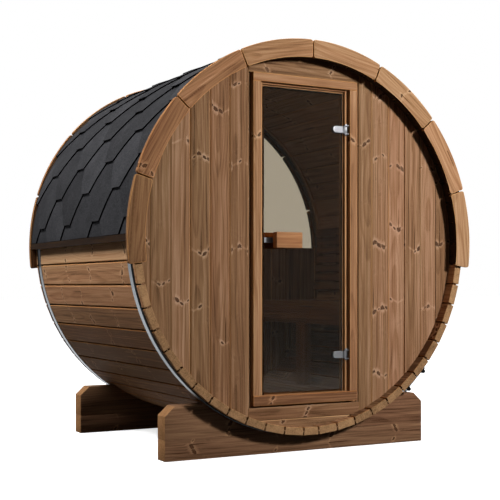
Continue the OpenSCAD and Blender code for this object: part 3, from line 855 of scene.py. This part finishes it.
def cradle_plank(piece, outline, middle_y):
    """Adds one plank of a cradle, given its outline seen from the front."""
    shape = new_shape()
    shape.faces.new([shape.verts.new((x, z, CRADLE_T / 2)) for x, z in outline])
    thicken(shape, CRADLE_T)
    bevel(shape, sharp_edges(shape), EASE)
    saw(piece, shape, axes(RIGHT, FRONT, Vector((0, middle_y, 0))))


def notch(start, end, steps):
    """Points along the round notch, from one height of its right side to another."""
    turns = [math.asin((z - AXIS_Z) / BARREL_R) for z in (start, end)]
    angles = [turns[0] + (turns[1] - turns[0]) * i / steps for i in range(steps + 1)]
    return [(BARREL_R * math.cos(angle), AXIS_Z + BARREL_R * math.sin(angle)) for angle in angles]


LOWEST_NOTCH = AXIS_Z - BARREL_R
# The notch dips a little into the lower plank
dip = notch(CRADLE_JOINT_Z, LOWEST_NOTCH, 8)
dip += [(-x, z) for x, z in reversed(dip[:-1])]
LOWER_PLANK = [
    (-CRADLE_HALF, 0), (CRADLE_HALF, 0), (CRADLE_HALF, CRADLE_JOINT_Z), *dip, (-CRADLE_HALF, CRADLE_JOINT_Z),
]
UPPER_PLANK = [
    (CRADLE_HALF, CRADLE_JOINT_Z), (CRADLE_HALF, CRADLE_H - CRADLE_CHAMFER[1]),
    (CRADLE_HALF - CRADLE_CHAMFER[0], CRADLE_H), *notch(CRADLE_H, CRADLE_JOINT_Z, 16),
]

for end in ("front", "rear"):
    node = "cradle_" + end
    piece = new_shape()
    middle_y = (low(node).y + high(node).y) / 2
    cradle_plank(piece, LOWER_PLANK, middle_y)
    cradle_plank(piece, UPPER_PLANK, middle_y)
    cradle_plank(piece, [(-x, z) for x, z in UPPER_PLANK], middle_y)
    show(piece, node + "_planks", CRADLE_FINISH, [node], smooth=True)


# ---- End walls ----

LEFT_JOINTS = (0.461, 0.576, 0.690, 0.802, 0.915)
RIGHT_JOINTS = (0.434, 0.550, 0.664, 0.776, 0.888)
REAR_PITCH = 0.115
JOINT_SLOT = 0.0015
JOINT_SLOT_DEPTH = 0.012
JOINT_CHAMFER = 0.006
DISC_R = INNER_R + 0.0005


def wall_board(piece, place, across, along=(-2, 2), tone=None):
    """Adds a board cut out of the barrel's disc, between two distances across it and two along it.

    Both faces narrow in a step beside the joints and are chamfered there, which leaves dark joint lines.
    """
    shape = new_shape()
    bmesh.ops.create_circle(shape, cap_ends=True, radius=DISC_R, segments=240)
    cut(shape, (0, across[0], 0), (0, 1, 0))
    cut(shape, (0, across[1], 0), (0, -1, 0))
    cut(shape, (along[0], 0, 0), (1, 0, 0))
    cut(shape, (along[1], 0, 0), (-1, 0, 0))
    bmesh.ops.translate(shape, vec=(0, 0, WALL_T / 2 - JOINT_SLOT_DEPTH), verts=shape.verts)
    thicken(shape, WALL_T - 2 * JOINT_SLOT_DEPTH)
    faces = [face for face in shape.faces if abs(face.normal.z) > 0.9]
    for face in faces:
        face = raise_step(shape, face, JOINT_SLOT_DEPTH, across[0] + JOINT_SLOT, across[1] - JOINT_SLOT)
        sides = []
        for edge in face.edges:
            way = edge.verts[0].co - edge.verts[1].co
            if abs(way.y) < 1e-6 < abs(way.x):
                sides.append(edge)
        bevel(shape, sides, JOINT_CHAMFER, 1)
    saw(piece, shape, place, tone)


FRONT_UPRIGHT = axes(UP, FRONT, AXIS + FRONT * (WALL_FACE - WALL_T / 2))
FRONT_LEVEL = axes(RIGHT, FRONT, AXIS + FRONT * (WALL_FACE - WALL_T / 2))
REAR_UPRIGHT = axes(UP, BACK, AXIS + BACK * (WALL_FACE - WALL_T / 2))
# An upright front board's "across" runs to the left, so the left-hand boards have positive distances
TONGUE_BACK = high("door_casing").y + 0.013
TONGUE = ((OPENING_HALF - 0.008, TONGUE_BACK - 0.012), (OPENING_HALF, TONGUE_BACK))

for hand, side, joints in (("left", 1, LEFT_JOINTS), ("right", -1, RIGHT_JOINTS)):
    piece = new_shape()
    edges = (OPENING_HALF, *joints, DISC_R)
    for inner, outer in zip(edges, edges[1:]):
        wall_board(piece, FRONT_UPRIGHT, sorted((side * inner, side * outer)))
    (x0, y0), (x1, y1) = TONGUE
    corner, opposite = (-side * x0, y0, OPENING_BOTTOM), (-side * x1, y1, OPENING_TOP)
    plank(piece, corner, opposite, UP, FRONT, FINE_EASE, -0.4)
    node = "front_wall_" + hand
    show(piece, node + "_boards", WALL_FINISH, [node])

WIDTH_OF_OPENING = (-OPENING_HALF, OPENING_HALF)
SILL_JOINT = 0.184
piece = new_shape()
wall_board(piece, FRONT_LEVEL, (OPENING_TOP - AXIS_Z, 2), WIDTH_OF_OPENING, tone=-0.5)
show(piece, "front_wall_head_board", WALL_FINISH, ["front_wall_head"])
piece = new_shape()
wall_board(piece, FRONT_LEVEL, (-2, SILL_JOINT - AXIS_Z), WIDTH_OF_OPENING)
wall_board(piece, FRONT_LEVEL, (SILL_JOINT - AXIS_Z, OPENING_BOTTOM - AXIS_Z), WIDTH_OF_OPENING)
show(piece, "front_wall_sill_boards", WALL_FINISH, ["front_wall_sill"])

piece = new_shape()
count = math.ceil(2 * DISC_R / REAR_PITCH)
for i in range(count):
    start = -count * REAR_PITCH / 2 + i * REAR_PITCH
    wall_board(piece, REAR_UPRIGHT, (start, start + REAR_PITCH), (-2, WINDOW_BOTTOM - AXIS_Z))
show(piece, "rear_wall_boards", WALL_FINISH, ["rear_wall"])


# ---- Rear window ----

GLASS_Y = (low("rear_window_glass").y, high("rear_window_glass").y)
BEAD_W = 0.014
BEAD_Y = (low("rear_window_beads").y, high("rear_window_beads").y)
BEAD_RADII = (INNER_R - BEAD_W, INNER_R - 0.001)
BEAD_START = math.asin((WINDOW_BOTTOM - AXIS_Z) / INNER_R) + 0.002

beads = new_shape()
for ends in ((BEAD_Y[0], GLASS_Y[0]), (GLASS_Y[1], BEAD_Y[1])):
    bead = hoop(BEAD_RADII, ends, BEAD_START, -(math.pi - 2 * BEAD_START), 72)
    bevel(bead, sharp_edges(bead), EASE)
    join(beads, bead)
show(beads, "rear_window_bead_rings", [FRAME_WOOD], ["rear_window_beads"], smooth=True)


# ---- Door frame ----

CASING = (low("door_casing"), high("door_casing"))
CASING_W = 0.048
CASING_HEAD_H = 0.045
CASING_FOOT_H = 0.053
CASING_GAP = 0.0005
FRAME_HALF = high("door_threshold").x
FRAME_BACK = high("door_threshold").y
FRAME_FRONT = CASING[1].y
SLOT_BACK = FRAME_FRONT + 0.013
SLOT_OVERLAP = 0.004
STOP_W = 0.018
STOP_D = 0.015
SILL_TOP = high("door_threshold").z
HEAD_UNDERSIDE = low("door_head").z + STOP_W
# A groove behind the casing's inner edge sets a strip of the frame off from the casing
GROOVE_W = 0.014
GROOVE_X = (FRAME_HALF + 0.023, FRAME_HALF + 0.023 + GROOVE_W)
GROOVE_Z = (HEAD_UNDERSIDE + 0.011, HEAD_UNDERSIDE + 0.011 + GROOVE_W)
GROOVE_BACK = FRAME_FRONT + 0.024

casing = new_shape()
foot_top, head_bottom = CASING[0].z + CASING_FOOT_H, CASING[1].z - CASING_HEAD_H
# The casing's foot is given a darker tone: painted shade, for the light falling off towards the bottom
plank(casing, CASING[0], (CASING[1].x, CASING[1].y, foot_top - CASING_GAP), RIGHT, FRONT, EASE, -1.2)
plank(casing, (CASING[0].x, CASING[0].y, head_bottom + CASING_GAP), CASING[1], RIGHT, FRONT, EASE, 0)
for side, tone in ((-1, 0.05), (1, -0.1)):
    inner = (side * (CASING[1].x - CASING_W), CASING[0].y, foot_top)
    plank(casing, inner, (side * CASING[1].x, CASING[1].y, head_bottom), UP, FRONT, EASE, tone)
show(casing, "door_casing_boards", CASING_FINISH, ["door_casing"])

for hand, side in (("left", -1), ("right", 1)):
    node = "door_post_" + hand
    post = new_shape()
    frame_bottom = CASING[0].z + SLOT_OVERLAP
    parts = (
        ((FRAME_HALF, GROOVE_BACK, OPENING_BOTTOM), (OPENING_HALF, FRAME_BACK, OPENING_TOP)),
        ((GROOVE_X[1], SLOT_BACK, OPENING_BOTTOM), (OPENING_HALF, GROOVE_BACK, OPENING_TOP)),
        ((GROOVE_X[1], FRAME_FRONT, frame_bottom), (CASING[1].x - SLOT_OVERLAP, SLOT_BACK, OPENING_TOP)),
        ((FRAME_HALF, FRAME_FRONT, SILL_TOP), (GROOVE_X[0], GROOVE_BACK, GROOVE_Z[0])),
        ((FRAME_HALF, FRAME_FRONT, frame_bottom), (GROOVE_X[1], GROOVE_BACK, SILL_TOP)),
        ((FRAME_HALF, FRAME_FRONT, GROOVE_Z[1]), (GROOVE_X[1], GROOVE_BACK, OPENING_TOP)),
        ((FRAME_HALF - STOP_W, FRAME_BACK - STOP_D, SILL_TOP), (FRAME_HALF, FRAME_BACK, HEAD_UNDERSIDE)),
    )
    flip = Vector((side, 1, 1))
    for corner, opposite in parts:
        plank(post, Vector(corner) * flip, Vector(opposite) * flip, UP, FRONT, FINE_EASE, 0.2)
    show(post, node + "_parts", FRAME_FINISH, [node])

head = new_shape()
stop_end = FRAME_HALF - STOP_W
for corner, opposite in (
    ((-FRAME_HALF, GROOVE_BACK, HEAD_UNDERSIDE), (FRAME_HALF, FRAME_BACK, OPENING_TOP)),
    ((-FRAME_HALF, FRAME_FRONT, HEAD_UNDERSIDE), (FRAME_HALF, GROOVE_BACK, GROOVE_Z[0])),
    ((-FRAME_HALF, FRAME_FRONT, GROOVE_Z[1]), (FRAME_HALF, GROOVE_BACK, OPENING_TOP)),
    ((-stop_end, FRAME_BACK - STOP_D, HEAD_UNDERSIDE - STOP_W), (stop_end, FRAME_BACK, HEAD_UNDERSIDE)),
):
    plank(head, corner, opposite, RIGHT, FRONT, FINE_EASE, 0.1)
show(head, "door_head_parts", FRAME_FINISH, ["door_head"])

threshold = new_shape()
for front, bottom, back in (
    (SLOT_BACK, OPENING_BOTTOM, FRAME_BACK), (FRAME_FRONT, CASING[0].z + SLOT_OVERLAP, SLOT_BACK),
):
    corner, opposite = (-FRAME_HALF, front, bottom), (FRAME_HALF, back, SILL_TOP)
    plank(threshold, corner, opposite, RIGHT, UP, FINE_EASE, 0)
show(threshold, "door_threshold_boards", FRAME_FINISH, ["door_threshold"])


# ---- Door ----

GLASS_LOW, GLASS_HIGH = low("door_glass"), high("door_glass")
HINGE_ZS = (0.516, 1.749)
CLAMP_H = 0.038
CLAMP_T = 0.010
CLAMP_BACK_T = 0.005
# The places of a clamp's two screws, from its round end
CLAMP_SCREWS = (0.024, 0.056)
SCREW_R = 0.0045
CLAMP_END_X = low("hinge_clamps").x
CLAMP_FRONT_X = GLASS_HIGH.x - 0.003
CLAMP_BACK_X = FRAME_HALF - STOP_W - 0.005
PIN = Vector((*frame["joints"][0]["pos_m"][:2], 0))
PIN_R = 0.0025
KNUCKLE_R = 0.0045


def block(corner, opposite):
    """A plain block between two opposite corners, to be shaped further."""
    size = Vector(opposite) - Vector(corner)
    shape = new_shape()
    bmesh.ops.create_cube(shape, size=1)
    bmesh.ops.scale(shape, vec=[abs(length) for length in size], verts=shape.verts)
    bmesh.ops.translate(shape, vec=(Vector(corner) + Vector(opposite)) / 2, verts=shape.verts)
    return shape


def rod(radius, start, end, segments=32):
    """A round bar from one point to another, with its rims eased."""
    shape = new_shape()
    way = Vector(end) - Vector(start)
    bmesh.ops.create_cone(
        shape, cap_ends=True, radius1=radius, radius2=radius, depth=way.length, segments=segments,
    )
    rims = [edge for edge in shape.edges if len(edge.link_faces) == 2 and edge.calc_face_angle() > 0.9]
    bevel(shape, rims, radius * 0.15)
    turn = way.to_track_quat("Z", "Y").to_matrix().to_4x4()
    bmesh.ops.transform(shape, matrix=turn, verts=shape.verts)
    bmesh.ops.translate(shape, vec=(Vector(start) + Vector(end)) / 2, verts=shape.verts)
    return shape


def edges_along(shape, direction):
    """The straight edges that run along a direction."""
    found = []
    for edge in shape.edges:
        way = (edge.verts[0].co - edge.verts[1].co).normalized()
        if abs(way.dot(direction)) > 0.999:
            found.append(edge)
    return found


glass = block(GLASS_LOW, GLASS_HIGH)
bevel(glass, glass.edges, 0.001, 1)
show(glass, "door_glass_sheet", [DOOR_GLASS], ["door_glass"], body="door")

clamps = new_shape()
for z in HINGE_ZS:
    for front_y, back_y, end_x in (
        (GLASS_LOW.y - CLAMP_T, GLASS_LOW.y, CLAMP_FRONT_X),
        (GLASS_HIGH.y, GLASS_HIGH.y + CLAMP_BACK_T, CLAMP_BACK_X),
    ):
        shape = block((CLAMP_END_X, front_y, z - CLAMP_H / 2), (end_x, back_y, z + CLAMP_H / 2))
        nose = [edge for edge in edges_along(shape, BACK) if edge.verts[0].co.x < CLAMP_END_X + 0.001]
        bevel(shape, nose, CLAMP_H / 2 * 0.98, 12)
        if front_y < GLASS_LOW.y:
            face = min(shape.faces, key=lambda face: face.calc_center_median().y)
            bmesh.ops.inset_region(shape, faces=[face], thickness=0.006)
            bmesh.ops.inset_region(shape, faces=[face], thickness=0.0008, depth=-0.0008)
        bevel(shape, sharp_edges(shape, 1.2), 0.0008)
        join(clamps, shape)
    for along in CLAMP_SCREWS:
        head = Vector((CLAMP_END_X + along, GLASS_LOW.y - CLAMP_T, z))
        join(clamps, rod(SCREW_R, head + 0.001 * BACK, head + 0.0002 * FRONT))
    knuckle = PIN + UP * (z - CLAMP_H / 2)
    join(clamps, rod(KNUCKLE_R, knuckle, knuckle + UP * CLAMP_H))
    corner = (CLAMP_FRONT_X - 0.004, PIN.y - 0.001, z - CLAMP_H / 2)
    join(clamps, block(corner, (PIN.x, PIN.y + 0.004, z + CLAMP_H / 2)))
show(clamps, "hinge_clamp_plates", [FITTING_STEEL], ["hinge_clamps"], body="door", smooth=True)

LEAF_H = 0.066
LEAF_T = 0.004
LEAF_X = (FRAME_HALF + 0.001, FRAME_HALF + 0.016)
LUG_Z = CLAMP_H / 2 + 0.0015
LUG_H = 0.005
leaves = new_shape()
for z in HINGE_ZS:
    plate = block((LEAF_X[0], FRAME_FRONT - LEAF_T, z - LEAF_H / 2), (LEAF_X[1], FRAME_FRONT, z + LEAF_H / 2))
    bevel(plate, edges_along(plate, BACK), 0.002, 3)
    bevel(plate, sharp_edges(plate), 0.0006)
    join(leaves, plate)
    for bottom in (z - LUG_Z - LUG_H, z + LUG_Z):
        lug_low = (PIN.x - KNUCKLE_R, PIN.y - KNUCKLE_R, bottom)
        lug = block(lug_low, (LEAF_X[1], FRAME_FRONT - LEAF_T, bottom + LUG_H))
        bevel(lug, lug.edges, 0.0006, 1)
        join(leaves, lug)
    bottom = PIN + UP * (z - LUG_Z - LUG_H)
    join(leaves, rod(PIN_R, bottom, bottom + UP * 2 * (LUG_Z + LUG_H)))
show(leaves, "hinge_leaf_plates", [FITTING_STEEL], ["hinge_leaves"], smooth=True)

HANDLE_T = 0.042
HANDLE_EASE = 0.005
PULL_FINISH = [HANDLE_WOOD, HANDLE_WOOD, HANDLE_WOOD, FITTING_STEEL]
SPACER_XS = (-0.190, -0.098)
SPACER_R = 0.008
for node, y_near, y_far, tone in (
    ("handle_outer", low("handle_outer").y, low("handle_outer").y + HANDLE_T, 0.2),
    ("handle_inner", high("handle_inner").y, high("handle_inner").y - HANDLE_T, -1.4),
):
    pull = new_shape()
    corner = (low(node).x, y_near, low(node).z)
    plank(pull, corner, (high(node).x, y_far, high(node).z), RIGHT, FRONT, HANDLE_EASE, tone)
    glass_y = GLASS_LOW.y if node == "handle_outer" else GLASS_HIGH.y
    for x in SPACER_XS:
        z = (low(node).z + high(node).z) / 2
        spacer = rod(SPACER_R, (x, glass_y, z), (x, y_far, z))
        set_finish(spacer, 3)
        join(pull, spacer)
    show(pull, node + "_pull", PULL_FINISH, [node], body="door", smooth=True)

plate = block(low("handle_plate"), high("handle_plate"))
bevel(plate, edges_along(plate, BACK), 0.003, 3)
bevel(plate, sharp_edges(plate), 0.0005, 1)
show(plate, "handle_catch_plate", [FITTING_STEEL], ["handle_plate"], body="door", smooth=True)


# ---- Floor, bench and backrest ----

BOARD_T = 0.028
BOARD_GAP = 0.009
BEARER_T = 0.038
BEARER_HALF = 0.42
BEARER_YS = (-0.420, 0, 0.420)
ROOM_END = high("floor").y
FLOOR_TOP = high("floor").z
FLOOR_HALF = high("floor").x
FLOOR_BOARDS = 10
SEAT_TOP = high("bench_seat").z
SEAT_FRONT = low("bench_seat").x
SEAT_BACK = 0.914
SEAT_BOARDS = 5


def long_boards(piece, start, end, count, top):
    """Adds level boards along the room, side by side with gaps."""
    pitch = (end - start + BOARD_GAP) / count
    for i in range(count):
        x = start + i * pitch
        plank(piece, (x, -ROOM_END, top - BOARD_T), (x + pitch - BOARD_GAP, ROOM_END, top), BACK, UP, EASE)


floor = new_shape()
long_boards(floor, -FLOOR_HALF, FLOOR_HALF, FLOOR_BOARDS, FLOOR_TOP)
for y in BEARER_YS:
    corner = (-BEARER_HALF, y - BEARER_T / 2, low("floor").z + 0.02)
    plank(floor, corner, (BEARER_HALF, y + BEARER_T / 2, FLOOR_TOP - BOARD_T), RIGHT, FRONT)
show(floor, "floor_boards", BENCH_FINISH, ["floor"])

seat = new_shape()
long_boards(seat, SEAT_FRONT, SEAT_BACK, SEAT_BOARDS, SEAT_TOP)
for y in BEARER_YS:
    plank(
        seat, (SEAT_FRONT + BOARD_T, y - BEARER_T / 2, low("bench_seat").z),
        (SEAT_BACK - 0.02, y + BEARER_T / 2, SEAT_TOP - BOARD_T), RIGHT, FRONT,
    )
show(seat, "bench_seat_boards", BENCH_FINISH, ["bench_seat"])

fascia = new_shape()
plank(fascia, low("bench_fascia"), high("bench_fascia"), BACK, -RIGHT, EASE)
show(fascia, "bench_fascia_board", BENCH_FINISH, ["bench_fascia"])
leg = new_shape()
plank(leg, low("bench_leg"), high("bench_leg"), UP, -RIGHT, EASE)
show(leg, "bench_leg_post", BENCH_FINISH, ["bench_leg"])

SLATS = 7
SLAT_W = 0.050
SLAT_T = 0.020
SLAT_BACK_R = 0.962
FIRST_SLAT = math.radians(-14.5)
SLAT_STEP = math.radians(3.7)
backrest = new_shape()
for i in range(SLATS):
    shape = block((-ROOM_END, -SLAT_W / 2, SLAT_BACK_R - SLAT_T), (ROOM_END, SLAT_W / 2, SLAT_BACK_R))
    bevel(shape, shape.edges, EASE)
    saw(backrest, shape, on_barrel(FIRST_SLAT + i * SLAT_STEP))
for y in BEARER_YS:
    for i in range(SLATS - 1):
        corner = (y - BEARER_T / 2, -SLAT_W * 0.62, SLAT_BACK_R)
        shape = block(corner, (y + BEARER_T / 2, SLAT_W * 0.62, INNER_R - 0.004))
        saw(backrest, shape, on_barrel(FIRST_SLAT + (i + 0.5) * SLAT_STEP), -0.3)
show(backrest, "backrest_slats", BENCH_FINISH, ["backrest"])


# ---- Bands and their screws ----

BAND_W = 0.036
BAND_T = 0.0015
# A black strip lies under each band and shows beside it, on the side of the barrel's end: a dark sheet that
# is painted shade beside the band
SHADE_STRIP_SHOWN = 0.020
SHADE_STRIP_T = 0.0008
# Both reach in as far as the middles of the staves, whose outsides are flat
BAND_SUNK = 0.002
BAND_START = math.pi + math.asin((high("roof_battens").z - AXIS_Z) / BARREL_R)
BAND_TURN = 3 * math.pi - 2 * BAND_START

bands = new_shape()
for side in (-1, 1):
    outside = side * -low("bands").y
    inside = outside - side * BAND_W
    beside = outside + side * SHADE_STRIP_SHOWN
    for ends, thickness, slot in (((outside, inside), BAND_T, 0), ((outside, beside), SHADE_STRIP_T, 1)):
        radii = (BARREL_R - BAND_SUNK, BARREL_R + thickness)
        ring = hoop(radii, sorted(ends), BAND_START, -BAND_TURN, 90)
        set_finish(ring, slot)
        join(bands, ring)
show(bands, "band_rings", [BAND_STEEL, RUBBER_AND_SHADE], ["bands"], smooth=True)

LUG_ANGLES = (math.radians(-50), math.radians(-42.5))
LUG_OUT = 0.050
LUG_T = 0.020
LUG_W = 0.030
BRACKET_T = 0.007
CAP_H = 0.034
ROD_R = 0.005
ROD_OUT = 0.032
ROD_LEN = 0.190
NUT_R = 0.0085
NUT_H = 0.008
NUTS_AT = (-0.088, 0.088)
BAND_MIDDLE = low("bands").y + BAND_W / 2

screws = new_shape()
for side in (1, -1):
    middle_y = side * BAND_MIDDLE
    for angle in LUG_ANGLES:
        near, far = middle_y - LUG_W / 2, middle_y + LUG_W / 2
        bracket = block((near, -BRACKET_T / 2, BARREL_R), (far, BRACKET_T / 2, BARREL_R + LUG_OUT - 0.008))
        bevel(bracket, sharp_edges(bracket), 0.001)
        join(screws, bracket, on_barrel(angle))
        top = BARREL_R + LUG_OUT
        cap = block((near, -LUG_T / 2, top - CAP_H), (far, LUG_T / 2, top))
        bevel(cap, edges_along(cap, Vector((1, 0, 0))), 0.007, 4)
        bevel(cap, sharp_edges(cap), 0.002)
        set_finish(cap, 1)
        join(screws, cap, on_barrel(angle))
    mid_angle = sum(LUG_ANGLES) / 2
    out = Vector((math.cos(mid_angle), 0, math.sin(mid_angle)))
    along = Vector((-math.sin(mid_angle), 0, math.cos(mid_angle)))
    centre = AXIS + out * (BARREL_R + ROD_OUT) + BACK * middle_y
    join(screws, rod(ROD_R, centre - along * ROD_LEN / 2, centre + along * ROD_LEN / 2))
    for nut in NUTS_AT:
        join(screws, rod(NUT_R, centre + along * (nut - NUT_H / 2), centre + along * (nut + NUT_H / 2), 6))
show(screws, "band_screws", [BAND_STEEL, CAP_PLASTIC], ["tensioners"], smooth=True)


# ---- CAD shapes that stay as they are ----

def paint(node, material):
    """Gives a CAD node its finish."""
    mesh = frame["nodes"][node].data
    mesh.materials.clear()
    mesh.materials.append(material)


paint("door_seal", RUBBER_AND_SHADE)
paint("rear_window_glass", WINDOW_GLASS)


# ---- Floor, light and camera ----

def is_seen(tree):
    """1 where the eye looks, straight, in a mirror or through glass, and 0 where light comes from."""
    ray = add(tree, "LightPath")
    seen = add(tree, "Math MAXIMUM", {0: ray["Is Camera Ray"], 1: ray["Is Glossy Ray"]})[0]
    return add(tree, "Math MAXIMUM", {0: seen, 1: ray["Is Transmission Ray"]})[0]


def studio_floor():
    """White to the eye and in reflections, with the object's shadow, and dull to the light it throws up."""
    material, tree = new_material("studio_floor")
    pale = add(tree, "BsdfDiffuse", {"Color": srgb("#F4F4F4")})[0]
    place = add(tree, "TexCoord")["Object"]
    # The glow is weaker near the object, where its shadow lies
    away = add(tree, "VectorMath LENGTH", {0: place})["Value"]
    strength = add(tree, "MapRange", {0: away, 1: 1.5, 2: 4, 3: 0.72, 4: 1})[0]
    glow = add(tree, "Emission", {"Color": srgb("#FFFFFF"), "Strength": strength})[0]
    bright = add(tree, "AddShader", {0: pale, 1: glow})[0]
    dull = add(tree, "BsdfDiffuse", {"Color": srgb("#262321")})[0]
    surface = add(tree, "MixShader", {0: is_seen(tree), 1: dull, 2: bright})[0]
    add(tree, "OutputMaterial", {"Surface": surface})
    return material


ground = bmesh.new()
bmesh.ops.create_grid(ground, x_segments=1, y_segments=1, size=60)
mesh = bpy.data.meshes.new("studio_floor")
ground.to_mesh(mesh)
ground.free()
mesh.materials.append(studio_floor())
studio = bpy.data.objects.new("studio_floor", mesh)
studio.location.z = -0.0005
bpy.context.scene.collection.objects.link(studio)

world = bpy.data.worlds.new("studio")
bpy.context.scene.world = world
world.use_nodes = True
world.node_tree.nodes.clear()
sky = world.node_tree
# The light that the sky gives grows from almost none at the horizon
toward = add(sky, "TexCoord")["Generated"]
toward = add(sky, "SeparateXYZ", {0: toward})["Z"]
lift = add(sky, "MapRange", {0: toward, 1: 0.1, 2: 0.9, 3: 0.01, 4: 0.2})[0]
soft = add(sky, "Background", {"Color": srgb("#FFFEFC"), "Strength": lift})[0]
white = add(sky, "Background", {"Color": srgb("#FFFFFF"), "Strength": 1})[0]
backdrop = add(sky, "MixShader", {0: is_seen(sky), 1: soft, 2: white})[0]
add(sky, "OutputWorld", {"Surface": backdrop})


def softbox(name, place, target, size, power):
    """A square soft lamp that points at a target."""
    lamp = bpy.data.lights.new(name, "AREA")
    lamp.energy = power
    lamp.size = size
    light = bpy.data.objects.new(name, lamp)
    light.location = place
    way = Vector(target) - Vector(place)
    light.rotation_euler = way.to_track_quat("-Z", "Y").to_euler()
    bpy.context.scene.collection.objects.link(light)
    return light


softbox("key", (1.9, -5.0, 2.9), (0.2, -0.7, 1.3), 0.6, 275)
softbox("top", (0.6, 1.2, 5.6), (0, 0.2, 1.1), 3.0, 120)
softbox("left", (-4.6, 1.2, 6.3), (-0.9, 0, 1.2), 2.2, 620)
# A weak lamp in the cabin shows the bench and the floor through the glass, and isn't seen itself
cabin = softbox("cabin", (-0.45, -0.35, 1.75), (0.4, 0.1, 0.3), 0.4, 2.3)
cabin.visible_camera = False
cabin.visible_glossy = False
cabin.visible_transmission = False

camera_data = bpy.data.cameras.new("camera")
camera_data.lens = 76.64
camera_data.sensor_width = 36
camera_data.shift_x = 0.0647
camera_data.shift_y = 0.0729
camera = bpy.data.objects.new("camera", camera_data)
camera.location = (-3.091, -5.528, 0.889)
camera.rotation_euler = (math.pi / 2, 0, math.radians(-27.84))
bpy.context.scene.collection.objects.link(camera)
bpy.context.scene.camera = camera
bpy.context.scene.view_settings.view_transform = "Standard"
